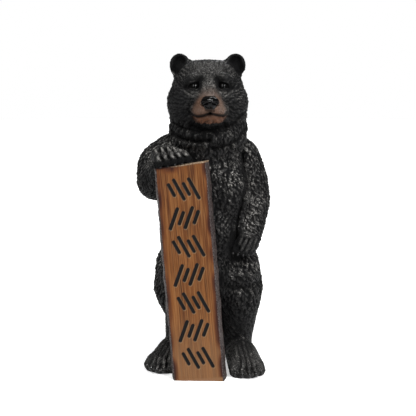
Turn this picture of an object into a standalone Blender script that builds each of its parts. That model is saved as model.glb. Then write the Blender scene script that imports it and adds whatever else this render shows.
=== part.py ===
"""A standing black bear that holds up a sign board: a cast and painted resin statue.

Metres, +Z up. The bear faces -Y, and +X is on the viewer's right.
The figure's own forms are shares of its height, written in hundredths of it.
The board's sizes, its place and the seat of the paw on it are real lengths.
"""

import math
import random

import bmesh
import bpy
import numpy as np
from mathutils import Euler, Matrix, Vector
from mathutils.kdtree import KDTree

# Driving dimensions of the figure
HEIGHT = 0.610
HUNDREDTH = HEIGHT / 100.0

# Driving dimensions of the board
BOARD_WIDTH = 0.0945
BOARD_LENGTH = 0.408
BOARD_THICKNESS = 0.036
BOARD_EDGE_FLARE = 0.0040
BOARD_EDGE_CHAMFER = 0.0026
BOARD_EDGE_WANDER = 0.0009
BOARD_STATION_PITCH = 0.017
BOARD_FOOT_X = -0.0162
BOARD_BACK_Y = -0.100
BOARD_SIDE_LEAN = math.radians(4.8)
BOARD_BACK_LEAN = math.radians(4.0)
BOARD_TURN = math.radians(1.5)
BOARD_TOP_SLOPE = math.radians(4.0)

# Rows of carved strokes down the board's front
STROKE_ROWS = 7
STROKES_PER_ROW = 4
STROKE_WIDTH = 0.0062
STROKE_DEPTH = 0.0016
STROKE_SLANT = math.radians(24.0)
STROKE_GAP = 0.0076
ROW_HEIGHT = 0.045
ROW_TOP_MARGIN = 0.022
ROW_FOOT_MARGIN = 0.022

# The paw on the board
PAW_CLEARANCE = 0.0004
PAW_PLACE_ACROSS = -0.22
PAW_SEAT_DEPTH = 0.45
PAW_HEEL_HEIGHT = 0.021

# Fineness of the solids
FORM_VOXEL = 0.0046
DETAIL_VOXEL = 0.0027
BEAR_TRIANGLES = 8300
FINE_WEIGHT = 0.55
FINE_PULL = 0.03
LOCK_SPACING = 0.021
LOCK_LENGTH = 0.030
LOCK_WIDTH = 0.014
LOCK_RISE = 0.0026

# Heel places on the floor, in hundredths of the height, and headings in degrees
FEET = (((10.2, -1.4), 8.0), ((-9.4, 1.6), -19.0))

# Places of the face, in hundredths of the height
FACE_MIDDLE = 0.4
EYE_SPREAD = 4.4
EYE_HEIGHT = 89.7
NOSE = (0.7, -17.8, 85.0)
EAR_SPREAD = 8.7
EAR_HEIGHT = 96.1

# A line that is seen from the front cuts nothing further back than this
FRONT_DEPTH = -3.0


def clear_scene():
    """Remove whatever the open file holds."""
    for item in list(bpy.data.objects):
        bpy.data.objects.remove(item, do_unlink=True)


def paint(name, colour, roughness):
    """Make a plain painted finish."""
    material = bpy.data.materials.new(name)
    material.use_nodes = True
    shader = material.node_tree.nodes["Principled BSDF"]
    shader.inputs["Base Color"].default_value = (*colour, 1.0)
    shader.inputs["Roughness"].default_value = roughness
    shader.inputs["Metallic"].default_value = 0.0
    material.diffuse_color = (*colour, 1.0)
    return material


def make_object(name, mesh):
    """Put a mesh into the scene under a name."""
    item = bpy.data.objects.new(name, mesh)
    bpy.context.collection.objects.link(item)
    return item


def mesh_from(bm, name):
    """Turn a bmesh into a mesh and let the bmesh go."""
    bmesh.ops.recalc_face_normals(bm, faces=bm.faces)
    mesh = bpy.data.meshes.new(name)
    bm.to_mesh(mesh)
    bm.free()
    return mesh


def evaluated(item, name):
    """Give the mesh of an object as its modifiers leave it."""
    graph = bpy.context.evaluated_depsgraph_get()
    mesh = bpy.data.meshes.new_from_object(item.evaluated_get(graph))
    mesh.name = name
    return mesh


def cut_at_floor(bm):
    """Cut off what is below the floor and return the edges round the cut."""
    whole = bm.verts[:] + bm.edges[:] + bm.faces[:]
    down = (0, 0, -1)
    cut = bmesh.ops.bisect_plane(bm, geom=whole, plane_co=(0, 0, 0), plane_no=down, clear_outer=True)
    return [part for part in cut["geom_cut"] if isinstance(part, bmesh.types.BMEdge)]


def share(values):
    """Turn hundredths of the height into metres."""
    return Vector(values) * HUNDREDTH


# The board

def board_place():
    """Give the board's frame: X across it, Y through it from its front, Z along it."""
    turned = Matrix.Rotation(-BOARD_TURN, 4, "Z")
    leaned = Matrix.Rotation(-BOARD_SIDE_LEAN, 4, "Y") @ Matrix.Rotation(-BOARD_BACK_LEAN, 4, "X")
    foot = Vector((BOARD_FOOT_X, BOARD_BACK_Y - BOARD_THICKNESS, 0.0))
    return Matrix.Translation(foot) @ turned @ leaned


def board_top(across):
    """Give the height of the board's top end, along the board, at a place across it."""
    return BOARD_LENGTH + across * math.tan(BOARD_TOP_SLOPE)


def edge_outline(half, front, back, wander, rng):
    """Outline one long edge in plan, from its chamfered front arris to its flared back."""
    shape = (
        (-BOARD_EDGE_CHAMFER, 0.0),
        (0.0, BOARD_EDGE_CHAMFER),
        (BOARD_EDGE_FLARE * 0.75, (back - front) * 0.55),
        (BOARD_EDGE_FLARE, back - front),
    )
    return [(half + out + wander * rng.uniform(-1.0, 1.0), front + depth) for out, depth in shape]


def board_section(spare, wander, rng):
    """Outline the board in plan: a flat front, chamfered arrises and flared, bark-like edges."""
    half = BOARD_WIDTH / 2.0 + spare
    back = BOARD_THICKNESS + spare
    right = edge_outline(half, -spare, back, wander, rng)
    left = edge_outline(half, -spare, back, wander, rng)
    return right + [(-x, y) for x, y in reversed(left)]


def board_block(spare, wander):
    """Loft the board from its sections, with its foot cut level with the floor."""
    rng = random.Random(11)
    bm = bmesh.new()
    below = BOARD_WIDTH * 0.25
    count = max(2, round((BOARD_LENGTH + below) / BOARD_STATION_PITCH))
    rings = []
    for index in range(count + 1):
        along = index / count
        ring = []
        for x, y in board_section(spare, wander, rng):
            top = board_top(x) + spare
            ring.append(bm.verts.new((x, y, -below + (top + below) * along)))
        rings.append(ring)
    sides = len(rings[0])
    for lower, upper in zip(rings, rings[1:]):
        for side in range(sides):
            after = (side + 1) % sides
            bm.faces.new((lower[side], lower[after], upper[after], upper[side]))
    bm.faces.new(list(reversed(rings[0])))
    bm.faces.new(rings[-1])
    bm.transform(board_place())
    if spare == 0.0:
        bmesh.ops.contextual_create(bm, geom=cut_at_floor(bm))
    return bm


def stroke_outline(length):
    """Outline one stroke: a bar with round ends, standing along Z."""
    radius = STROKE_WIDTH / 2.0
    reach = length / 2.0 - radius
    steps = 2
    outline = []
    for end in (1.0, -1.0):
        for step in range(steps + 1):
            angle = math.pi * step / steps
            outline.append((end * radius * math.cos(angle), end * (reach + radius * math.sin(angle))))
    return outline


def stroke_cutter():
    """Lay out the rows of slanting strokes that stand where an inscription would be."""
    bm = bmesh.new()
    first = ROW_FOOT_MARGIN + ROW_HEIGHT / 2.0
    last = BOARD_LENGTH - ROW_TOP_MARGIN - ROW_HEIGHT / 2.0
    pitch = STROKE_WIDTH + STROKE_GAP
    for row in range(STROKE_ROWS):
        height = first + (last - first) * row / max(1, STROKE_ROWS - 1)
        slant = STROKE_SLANT if row % 2 else -STROKE_SLANT
        for index in range(STROKES_PER_ROW):
            across = (index - (STROKES_PER_ROW - 1) / 2.0) * pitch
            length = ROW_HEIGHT * (1.0 if (index + row) % 2 else 0.62)
            turn = Matrix.Translation((across, 0.0, height)) @ Matrix.Rotation(slant, 4, "Y")
            near = []
            for x, z in stroke_outline(length):
                near.append(bm.verts.new(turn @ Vector((x, -STROKE_DEPTH, z))))
            face = bm.faces.new(near)
            made = bmesh.ops.extrude_face_region(bm, geom=[face])
            far = [part for part in made["geom"] if isinstance(part, bmesh.types.BMVert)]
            bmesh.ops.translate(bm, verts=far, vec=(0.0, 2.0 * STROKE_DEPTH, 0.0))
    bm.transform(board_place())
    cutter = make_object("stroke_cutter", mesh_from(bm, "stroke_cutter"))
    cutter.hide_render = True
    cutter.display_type = "WIRE"
    return cutter


def build_board():
    """Make the sign board with its carved strokes."""
    board = make_object("sign_board", mesh_from(board_block(0.0, BOARD_EDGE_WANDER), "sign_board"))
    carve = board.modifiers.new("strokes", "BOOLEAN")
    carve.operation = "DIFFERENCE"
    carve.solver = "EXACT"
    carve.object = stroke_cutter()
    board.data.materials.append(paint("stained wood", (0.32, 0.13, 0.045), 0.5))
    return board


# Masses of the figure

def add_ball(bm, centre, radii, turn=(0.0, 0.0, 0.0)):
    """Add an ellipsoid mass, turned by degrees about X, Y and Z."""
    angles = Euler([math.radians(angle) for angle in turn])
    size = Matrix.Diagonal((*share(radii), 1.0))
    place = Matrix.Translation(share(centre)) @ angles.to_matrix().to_4x4() @ size
    bmesh.ops.create_icosphere(bm, subdivisions=3, radius=1.0, matrix=place)


def sphere_points(count):
    """Spread points evenly over a unit sphere."""
    golden = math.pi * (3.0 - math.sqrt(5.0))
    for index in range(count):
        z = 1.0 - 2.0 * (index + 0.5) / count
        ring = math.sqrt(1.0 - z * z)
        yield Vector((ring * math.cos(golden * index), ring * math.sin(golden * index), z))


def add_limb(bm, *stations):
    """Add a limb through stations of (point, radius), hulled from one to the next."""
    for pair in zip(stations, stations[1:]):
        verts = []
        for point, radius in pair:
            for direction in sphere_points(120):
                verts.append(bm.verts.new(share(point) + direction * radius * HUNDREDTH))
        hull = bmesh.ops.convex_hull(bm, input=verts)
        inside = {part for part in hull["geom_interior"] if isinstance(part, bmesh.types.BMVert)}
        bmesh.ops.delete(bm, geom=list(inside), context="VERTS")


def paw_seat():
    """Give the middle of the paw's seat on the board's top, in hundredths of the height."""
    across = BOARD_WIDTH * PAW_PLACE_ACROSS
    seat = board_place() @ Vector((across, BOARD_THICKNESS * PAW_SEAT_DEPTH, board_top(across)))
    return seat / HUNDREDTH


def add_torso(bm):
    """Add the trunk: hips, belly, chest, hump and the short tail."""
    add_limb(
        bm,
        ((0.0, 2.4, 66.0), 12.2),
        ((1.0, 1.0, 52.0), 13.4),
        ((1.0, 1.2, 40.0), 13.6),
        ((0.4, 1.4, 30.0), 12.6),
    )
    add_ball(bm, (0.4, 0.6, 30.6), (15.4, 13.0, 12.6))
    add_ball(bm, (1.2, -0.3, 44.5), (15.4, 13.2, 15.5))
    add_ball(bm, (0.2, 0.4, 58.0), (14.9, 12.6, 14.5))
    add_ball(bm, (0.0, 3.4, 66.5), (12.8, 10.4, 9.0))
    add_ball(bm, (6.8, -5.4, 56.0), (6.6, 7.6, 12.0))
    add_ball(bm, (0.0, 12.8, 28.5), (2.6, 3.4, 2.4))


def add_neck(bm):
    """Add the neck and the thick ruff that lies over the shoulders."""
    add_limb(bm, ((0.0, 1.0, 86.0), 10.6), ((0.0, 1.5, 70.0), 12.6))
    add_ball(bm, (0.2, 0.0, 76.6), (13.0, 11.6, 5.4))
    add_ball(bm, (0.4, -3.2, 73.6), (11.6, 9.6, 4.6))


def add_head(bm):
    """Add the skull and its cheeks."""
    add_ball(bm, (0.0, 0.0, 88.6), (11.4, 11.2, 9.4))
    for side in (-1.0, 1.0):
        add_ball(bm, (side * 3.4, -0.4, 89.2), (6.8, 10.0, 8.6))
        add_ball(bm, (side * 6.4, -2.6, 84.6), (6.3, 8.2, 7.0))
        add_ball(bm, (side * 6.2 + 0.2, -3.6, 80.8), (5.9, 6.6, 4.8))


def add_leg(bm, side, knee_x, shin_x, ankle_x):
    """Add one thick leg, from the hip to the ankle."""
    add_limb(
        bm,
        ((side * 8.2, -0.5, 31.6), 8.6),
        ((side * knee_x, -2.4, 24.4), 8.0),
        ((side * shin_x, -1.8, 16.5), 6.6),
        ((side * ankle_x, -1.0, 8.0), 5.2),
        ((side * ankle_x, 0.0, 3.2), 5.0),
    )
    add_ball(bm, (side * (knee_x + 0.6), -5.8, 30.2), (5.6, 5.0, 5.2))
    add_ball(bm, (side * knee_x, -6.2, 22.8), (5.2, 3.9, 4.0))


def add_foot(bm, heel, heading, stage):
    """Add one foot, its toes and claws, pointing away from its heel."""
    turn = Matrix.Rotation(math.radians(heading), 3, "Z")

    def place(across, ahead, height):
        return Vector((heel[0], heel[1], 0.0)) + turn @ Vector((across, -ahead, height))

    if stage == "form":
        add_limb(bm, (place(0.0, 0.6, 3.4), 4.4), (place(0.2, 9.0, 3.6), 4.6), (place(0.2, 15.6, 2.2), 4.2))
        add_limb(bm, (place(-1.6, 6.0, 3.0), 3.6), (place(-2.4, 15.8, 1.5), 3.2))
        add_limb(bm, (place(1.6, 6.0, 3.0), 3.6), (place(2.7, 15.2, 1.5), 3.2))
        return
    for index in range(5):
        spread = index - 2.0
        across = spread * 2.1
        ahead = 20.3 - 0.5 * spread * spread
        knuckle = place(across * 0.95, ahead - 3.2, 2.9)
        tip = place(across, ahead - 1.2, 1.7)
        add_limb(bm, (place(across * 0.8, ahead - 6.4, 3.3), 1.4), (knuckle, 1.45), (tip, 1.45))
        add_limb(bm, (place(across, ahead - 0.5, 2.0), 0.6), (place(across * 1.02, ahead + 0.5, 0.75), 0.3))


def add_hanging_arm(bm, stage):
    """Add the arm that hangs at the viewer's right, with its paw against the hip."""
    if stage == "form":
        add_limb(
            bm,
            ((10.0, 1.4, 66.4), 6.8),
            ((13.6, 0.0, 60.0), 5.6),
            ((15.0, -1.2, 53.6), 5.1),
            ((13.9, -4.6, 47.0), 4.5),
            ((13.0, -7.8, 42.8), 3.7),
        )
        add_ball(bm, (12.6, -9.6, 41.0), (3.7, 3.0, 3.7), (0.0, 30.0, 0.0))
        return
    fingers = zip((15.2, 13.7, 12.2, 10.7), (-10.6, -11.9, -12.6, -12.4), (13.6, 11.8, 10.1, 8.6))
    for index, (root_x, root_y, tip_x) in enumerate(fingers):
        root = Vector((root_x, root_y, 42.4 + 0.2 * index))
        tip = Vector((tip_x, root_y - 0.9, 38.3 + 0.35 * index))
        add_limb(bm, (root, 1.0), (root.lerp(tip, 0.55) + Vector((0.0, -0.5, 0.0)), 1.05), (tip, 0.9))
        add_limb(bm, (tip, 0.55), (tip + Vector((-0.8, -0.4, -1.4)), 0.3))


def add_paw_arm(bm, stage):
    """Add the arm at the viewer's left, bent so that its paw lies on the board's top end."""
    seat = paw_seat()
    palm = seat + Vector((0.0, 0.8, PAW_HEEL_HEIGHT / HUNDREDTH - 0.6))
    edge = -PAW_SEAT_DEPTH * BOARD_THICKNESS / HUNDREDTH
    if stage == "form":
        add_limb(
            bm,
            ((-11.2, 1.0, 66.2), 8.0),
            ((-15.0, -0.2, 64.1), 7.4),
            ((-16.3, -2.4, 59.9), 6.25),
            ((-15.4, -5.6, 61.0), 4.9),
            (palm + Vector((-2.6, 4.2, -3.4)), 4.0),
            (palm + Vector((-0.6, 1.6, -0.8)), 3.5),
        )
        add_ball(bm, palm + Vector((-0.2, 1.2, 0.0)), (5.4, 3.8, 3.1), (18.0, 9.0, 0.0))
        return
    for index in range(5):
        spread = index - 2.0
        root = palm + Vector((1.8 * spread - 0.6, edge * 0.45, 2.3 - 0.2 * spread * spread))
        tip = seat + Vector((2.15 * spread + 1.3, edge + 0.1, 2.0 + 0.4 * spread))
        add_limb(bm, (root, 1.0), (root.lerp(tip, 0.5) + Vector((-0.1, -0.5, 0.6)), 1.05), (tip, 0.95))
        add_limb(bm, (tip, 0.6), (tip + Vector((0.35, -0.45, -1.4)), 0.3))
    add_ball(bm, seat + Vector((0.3, edge * 0.35, 0.8)), (5.2, 1.6, 1.5), (0.0, -6.0, 0.0))


def add_face(bm):
    """Add the muzzle, chin, nose, brows, eyes and ears."""
    add_ball(bm, (0.4, -10.0, 84.0), (5.9, 6.4, 4.9))
    add_ball(bm, (0.5, -14.0, 83.6), (4.8, 4.5, 3.9))
    add_ball(bm, (0.2, -5.4, 91.2), (7.4, 5.7, 4.6))
    add_limb(bm, ((0.1, -6.8, 91.2), 3.9), ((0.4, -11.6, 88.2), 3.0), ((0.6, -15.3, 85.6), 2.5))
    add_limb(bm, ((0.2, -9.0, 80.6), 3.9), ((0.6, -13.2, 80.7), 2.6))
    add_ball(bm, (0.7, -11.4, 80.4), (4.8, 4.2, 2.4))
    nose = Vector(NOSE)
    add_ball(bm, nose + Vector((0.0, -0.2, -0.1)), (2.0, 1.5, 1.8))
    for side in (-1.0, 1.0):
        x = side * EYE_SPREAD + FACE_MIDDLE
        add_ball(bm, (x, -9.0, 92.2), (3.2, 1.9, 1.5), (0.0, side * 12.0, 0.0))
        add_ball(bm, (x, -8.7, 87.8), (3.2, 2.4, 1.7))
        add_ball(bm, (x, -9.9, EYE_HEIGHT), (2.1, 1.9, 1.7), (0.0, side * 10.0, 0.0))
        add_ball(bm, (side * 3.0 + 0.5, -13.2, 82.6), (2.9, 3.6, 2.4))
        add_ball(bm, nose + Vector((side * 1.5, 0.25, 0.05)), (1.35, 1.25, 1.4))
        add_limb(bm, ((side * 7.2, 0.6, 92.0), 3.4), ((side * 8.1, 0.6, 95.0), 2.9))
        add_ball(bm, (side * EAR_SPREAD, 0.2, EAR_HEIGHT), (3.3, 1.9, 3.7), (0.0, side * 8.0, 0.0))
        add_ball(bm, (side * 6.0, 0.4, 93.6), (2.6, 2.2, 3.1), (0.0, side * 24.0, 0.0))
        add_ball(bm, (side * 6.9, -1.5, 93.6), (2.4, 1.8, 2.8), (0.0, side * 20.0, 0.0))


# Carving

def near_line(points, line):
    """Give each point's distance to a line, whose places may be (across, height) from the front."""
    front = len(line[0]) == 2
    flat = points[:, (0, 2)] if front else points
    nearest = np.full(len(points), np.inf)
    places = [np.array(place) * HUNDREDTH for place in line]
    if len(places) == 1:
        places = places * 2
    for start, end in zip(places, places[1:]):
        run = end - start
        along = np.clip((flat - start) @ run / max(float(run @ run), 1e-12), 0.0, 1.0)
        nearest = np.minimum(nearest, np.linalg.norm(flat - start - along[:, None] * run, axis=1))
    if front:
        nearest[points[:, 1] > FRONT_DEPTH * HUNDREDTH] = np.inf
    return nearest


def gouge(points, normals, line, width, depth):
    """Press a round-bottomed groove along a line, or raise it where depth is negative.

    A line seen from the front is pressed straight back, and any other along the surface's normals.
    """
    fall = np.clip(1.0 - near_line(points, line) / (width * HUNDREDTH), 0.0, 1.0)
    press = depth * HUNDREDTH * fall * fall * (3.0 - 2.0 * fall)
    if len(line[0]) == 2:
        points[:, 1] += press
    else:
        points -= normals * press[:, None]


def carve_eyes_and_ears(points, normals):
    """Carve the slanting sockets round the eyes, the rims under them, and the ear cups."""
    z = EYE_HEIGHT
    for side in (-1.0, 1.0):
        x = side * EYE_SPREAD + FACE_MIDDLE
        inner = ((x - side * 2.2, z + 2.1), (x - side * 1.2, z + 1.1))
        socket = inner + ((x + side * 0.5, z), (x + side * 2.5, z - 0.4))
        gouge(points, normals, socket, 1.5, 0.9)
        gouge(points, normals, ((x, z + 0.1),), 1.3, -0.7)
        gouge(points, normals, ((x - side * 0.9, z - 1.3), (x + side * 2.2, z - 1.3)), 0.8, -0.3)
        cup = ((side * (EAR_SPREAD + 0.1), -1.7, 97.4), (side * (EAR_SPREAD + 0.8), -1.6, 94.9))
        gouge(points, normals, cup, 3.0, 1.6)


def carve_muzzle(points, normals):
    """Carve the nostrils, the groove under the nose and the seam of the lips."""
    x, _, z = NOSE
    for side in (-1.0, 1.0):
        gouge(points, normals, ((x + side * 1.2, z - 0.1), (x + side * 2.1, z - 0.5)), 0.8, 0.8)
    gouge(points, normals, ((x, z - 1.6), (x, z - 3.2)), 0.8, 0.5)
    left = ((-5.3, 82.2), (-4.5, 81.3), (-3.1, 80.85), (-1.6, 80.95), (-0.3, 81.5), (0.7, 81.85))
    right = ((0.7, 81.85), (2.0, 81.5), (3.6, 81.1), (4.7, 81.1), (5.8, 82.2))
    gouge(points, normals, left, 0.9, 0.9)
    gouge(points, normals, right, 0.9, 0.8)


def carve_body(points, normals):
    """Carve the ruff's folds, and the creases round the arms, the knee and the paw."""
    fold = ((-12.4, 76.4), (-10.3, 74.5), (-7.2, 73.5), (-3.5, 73.0), (0.5, 73.3))
    band = ((-11.6, 77.6), (-9.1, 76.2), (-5.3, 75.0), (-1.1, 74.6))
    under = ((-10.4, 78.6), (-7.4, 77.0), (-4.0, 75.9), (-0.6, 75.6))
    sweep = ((10.6, 81.0), (7.6, 78.0), (4.6, 75.8), (2.4, 74.8))
    low_sweep = ((12.8, 77.4), (9.6, 73.8), (6.3, 71.9), (1.8, 71.0))
    throat = ((-4.8, 77.6), (0.6, 76.4), (5.4, 77.6))
    crease = ((11.0, 68.6), (11.2, 64.0), (12.0, 58.6), (10.6, 54.0), (9.4, 49.6), (8.8, 40.6))
    knee = ((6.4, 26.4), (10.2, 25.8), (13.5, 26.3), (16.6, 26.4))
    elbow = ((-9.6, -9.0, 62.0), (-10.6, -6.6, 54.0))
    hip = ((12.0, -9.6, 36.4), (15.6, -5.0, 36.0), (17.0, 0.0, 36.6))
    spine = ((0.0, 15.0, 70.0), (0.0, 14.6, 52.0), (0.0, 14.0, 36.0))
    for line, width, depth in (
        (fold, 1.6, 1.9),
        (band, 1.2, -0.6),
        (under, 1.0, 0.8),
        (sweep, 1.2, 0.9),
        (low_sweep, 1.5, 1.3),
        (throat, 1.7, 1.5),
        (crease, 1.5, 1.7),
        (knee, 1.4, 0.8),
        (elbow, 1.6, 1.2),
        (hip, 1.5, 1.1),
        (spine, 2.6, 0.7),
    ):
        gouge(points, normals, line, width, depth)


def lock_direction(point):
    """Give the way the fur grows: down the body, and back over the head."""
    x, y, z = point / HUNDREDTH
    if z < 80.0:
        side = 0.28 * math.copysign(min(1.0, abs(x) / 10.0), x)
        return Vector((side, 0.0, -1.0))
    return Vector((0.5 * x / 10.0, 0.6, -0.75 + 0.05 * (z - 80.0)))


def has_locks(point):
    """Say whether fur is cut into locks here: not on the face, the paws or the feet."""
    x, y, z = point / HUNDREDTH
    face = z > 77.0 and y < -4.0 and abs(x) < 9.5
    crown = z > 90.5
    foot = z < 8.0
    hand = (Vector((x, y, z)) - Vector((11.0, -11.0, 39.6))).length < 6.2
    seat = paw_seat()
    paw = (Vector((x, y, z)) - seat).length < 7.4
    return not (face or crown or foot or hand or paw)


def carve_locks(points, normals):
    """Raise overlapping locks of fur, each rising along its growth and ending in a step."""
    tree = KDTree(len(points))
    for index, point in enumerate(points):
        tree.insert(point, index)
    tree.balance()
    rng = random.Random(7)
    order = list(range(len(points)))
    rng.shuffle(order)
    taken = np.zeros(len(points), dtype=bool)
    rise = np.zeros(len(points))
    for index in order:
        if taken[index]:
            continue
        root = Vector(points[index])
        for _, near, _ in tree.find_range(root, LOCK_SPACING * rng.uniform(0.85, 1.1)):
            taken[near] = True
        if not has_locks(root):
            continue
        normal = Vector(normals[index])
        along = lock_direction(root)
        along = (along - normal * along.dot(normal)).normalized()
        across = normal.cross(along)
        length = LOCK_LENGTH * rng.uniform(0.85, 1.2)
        for place, near, _ in tree.find_range(root, length):
            offset = place - root
            run = offset.dot(along) / length
            if not 0.0 < run < 1.0:
                continue
            half = LOCK_WIDTH * 0.5 * (1.0 - 0.75 * run * run)
            width = abs(offset.dot(across)) / half
            if width >= 1.0:
                continue
            height = LOCK_RISE * (0.25 + 0.75 * run) * math.sqrt(1.0 - width * width)
            rise[near] = max(rise[near], height)
    points += normals * rise[:, None]


# From masses to the solid

def fused(bm, voxel, smoothing, name):
    """Fuse overlapping masses into one skin and soften where they meet."""
    item = make_object(name, mesh_from(bm, name))
    skin = item.modifiers.new("skin", "REMESH")
    skin.mode = "VOXEL"
    skin.voxel_size = voxel
    soften = item.modifiers.new("soften", "SMOOTH")
    soften.factor = 0.5
    soften.iterations = smoothing
    mesh = evaluated(item, name)
    bpy.data.objects.remove(item, do_unlink=True)
    return mesh


def figure_form():
    """Model the figure's large masses, softened into each other."""
    bm = bmesh.new()
    add_torso(bm)
    add_neck(bm)
    add_head(bm)
    add_leg(bm, 1.0, 10.0, 9.9, 9.8)
    add_leg(bm, -1.0, 9.5, 7.5, 8.9)
    for heel, heading in FEET:
        add_foot(bm, heel, heading, "form")
    add_hanging_arm(bm, "form")
    add_paw_arm(bm, "form")
    return fused(bm, FORM_VOXEL, 9, "figure_form")


def figure_detail():
    """Add the face, paws and toes to the large masses and fuse them finely."""
    bm = bmesh.new()
    form = figure_form()
    bm.from_mesh(form)
    bpy.data.meshes.remove(form)
    add_face(bm)
    for heel, heading in FEET:
        add_foot(bm, heel, heading, "toes")
    add_hanging_arm(bm, "fingers")
    add_paw_arm(bm, "fingers")
    return fused(bm, DETAIL_VOXEL, 2, "figure_detail")


def carve(mesh, cut):
    """Run one carving over a mesh's points, with the normals that they have before it."""
    count = len(mesh.vertices)
    points = np.empty(count * 3)
    normals = np.empty(count * 3)
    mesh.vertices.foreach_get("co", points)
    mesh.vertex_normals.foreach_get("vector", normals)
    points = points.reshape(-1, 3)
    normals = normals.reshape(-1, 3)
    cut(points, normals)
    mesh.vertices.foreach_set("co", points.ravel())
    mesh.update()


def level_soles(bm):
    """Cut the soles flat on the floor."""
    bmesh.ops.holes_fill(bm, edges=cut_at_floor(bm), sides=0)
    bmesh.ops.triangulate(bm, faces=bm.faces[:])


def weight_fineness(item):
    """Weigh the head, the paws and the toes so that thinning spares them."""
    group = item.vertex_groups.new(name="plain")
    fine_spots = (
        (share((0.0, -10.0, 87.0)), 13.0 * HUNDREDTH),
        (share((11.0, -13.0, 39.0)), 5.5 * HUNDREDTH),
        (paw_seat() * HUNDREDTH, 7.5 * HUNDREDTH),
        (share((12.4, -18.0, 2.0)), 8.0 * HUNDREDTH),
        (share((-15.0, -14.0, 2.0)), 8.0 * HUNDREDTH),
    )
    plain = []
    fine = []
    for vertex in item.data.vertices:
        near = any((vertex.co - place).length < reach for place, reach in fine_spots)
        (fine if near else plain).append(vertex.index)
    group.add(plain, 1.0, "REPLACE")
    group.add(fine, FINE_WEIGHT, "REPLACE")


def build_bear():
    """Make the bear: masses, carving, fur locks, flat soles and the seat on the board."""
    mesh = figure_detail()
    for cut in (carve_eyes_and_ears, carve_muzzle, carve_body, carve_locks):
        carve(mesh, cut)
    item = make_object("bear_carved", mesh)
    weight_fineness(item)
    thin = item.modifiers.new("thin", "DECIMATE")
    thin.ratio = min(1.0, BEAR_TRIANGLES / (2.0 * len(mesh.polygons)))
    thin.vertex_group = "plain"
    thin.vertex_group_factor = FINE_PULL
    plain = evaluated(item, "bear")
    bpy.data.objects.remove(item, do_unlink=True)
    bm = bmesh.new()
    bm.from_mesh(plain)
    level_soles(bm)
    bm.to_mesh(plain)
    bm.free()
    bear = make_object("bear", plain)
    spare = PAW_CLEARANCE + BOARD_EDGE_WANDER
    room = make_object("board_room", mesh_from(board_block(spare, 0.0), "board_room"))
    room.hide_render = True
    room.display_type = "WIRE"
    seat = bear.modifiers.new("seat", "BOOLEAN")
    seat.operation = "DIFFERENCE"
    seat.solver = "EXACT"
    seat.object = room
    bear.data.materials.clear()
    bear.vertex_groups.clear()
    bear.data.materials.append(paint("black fur", (0.018, 0.018, 0.02), 0.45))
    return bear


def centre_on_floor(items):
    """Move everything so that the middle of its box stands over the origin."""
    graph = bpy.context.evaluated_depsgraph_get()
    corners = []
    for item in items:
        ready = item.evaluated_get(graph)
        corners += [ready.matrix_world @ vertex.co for vertex in ready.data.vertices]
    middle_x = (min(c.x for c in corners) + max(c.x for c in corners)) / 2.0
    middle_y = (min(c.y for c in corners) + max(c.y for c in corners)) / 2.0
    for item in list(bpy.data.objects):
        item.location = (-middle_x, -middle_y, 0.0)


clear_scene()
centre_on_floor([build_bear(), build_board()])
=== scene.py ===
"""A standing black bear with a sign board: the finished looks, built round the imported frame.

Metres, +Z up, and the bear faces -Y. The figure's own forms are hundredths of its height,
and the board's sizes are real lengths.
"""

import itertools
import logging
import math
import random
from dataclasses import dataclass, field
from enum import Enum
from typing import Callable, Iterator, Sequence

import bmesh
import bpy
import numpy as np
from mathutils import Euler, Matrix, Vector
from mathutils.kdtree import KDTree


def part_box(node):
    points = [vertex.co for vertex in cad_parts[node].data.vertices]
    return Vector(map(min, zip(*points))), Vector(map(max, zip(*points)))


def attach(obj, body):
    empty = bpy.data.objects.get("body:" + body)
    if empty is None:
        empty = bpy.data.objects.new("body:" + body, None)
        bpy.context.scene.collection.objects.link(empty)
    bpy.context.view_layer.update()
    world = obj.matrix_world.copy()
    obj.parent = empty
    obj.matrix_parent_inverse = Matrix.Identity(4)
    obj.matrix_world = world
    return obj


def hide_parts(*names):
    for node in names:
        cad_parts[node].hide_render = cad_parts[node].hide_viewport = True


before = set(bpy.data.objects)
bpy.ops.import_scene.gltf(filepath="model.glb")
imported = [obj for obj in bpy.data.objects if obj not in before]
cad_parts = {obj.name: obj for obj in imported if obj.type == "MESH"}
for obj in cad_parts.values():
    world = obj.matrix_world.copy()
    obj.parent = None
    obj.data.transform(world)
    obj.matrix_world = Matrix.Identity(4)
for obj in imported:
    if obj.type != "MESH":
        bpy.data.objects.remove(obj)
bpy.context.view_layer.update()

Point = tuple[float, float, float]
Line = Sequence[Sequence[float]]
Mass = tuple[Point, Point]
Relief = tuple[Point, float, int, float]
Station = tuple[Point, float]

HEIGHT = 0.610
HUNDREDTH = HEIGHT / 100.0
BODY = "root"
INWARDS = (0.0, 1.0, 0.0)
LOG = logging.getLogger("bear")


class Slot(Enum):
    """The record's material slots."""

    FUR = "black_fur"
    WOOD = "sign_wood"


class Mark(Enum):
    """What the figure's finish reads from the points of its skin."""

    # Dust from the dry brush, which also paints highlight where the light falls and on lit patches.
    DUST_AND_HIGHLIGHT = "dust"
    TAN = "tan"
    RUST = "rust"
    GLOSS = "gloss"
    SHADE = "shade"
    FINE = "fine"
    STRAND = "strand"
    # Pale marks, mostly painted highlight on rims, ridges and the lit side of the muzzle, and pale fur
    # strokes in the ears.
    RIM = "rim"


class Trace(Enum):
    """What the board's finish reads from its points."""

    STROKE = "stroke"
    # A painted highlight along the lower right rim of each stroke.
    HALO = "halo"
    BARK = "bark"
    # Scorch along the front's edges, and the paw's painted shadow at its top left.
    EDGE = "edge"
    SAWN = "sawn"


def share(values: Sequence[float]) -> Vector:
    """Turn hundredths of the height into metres."""
    return Vector(values) * HUNDREDTH


def smooth(values: np.ndarray) -> np.ndarray:
    """Ease values from 0 to 1, flat at both ends."""
    held = np.clip(values, 0.0, 1.0)
    return held * held * (3.0 - 2.0 * held)


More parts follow.
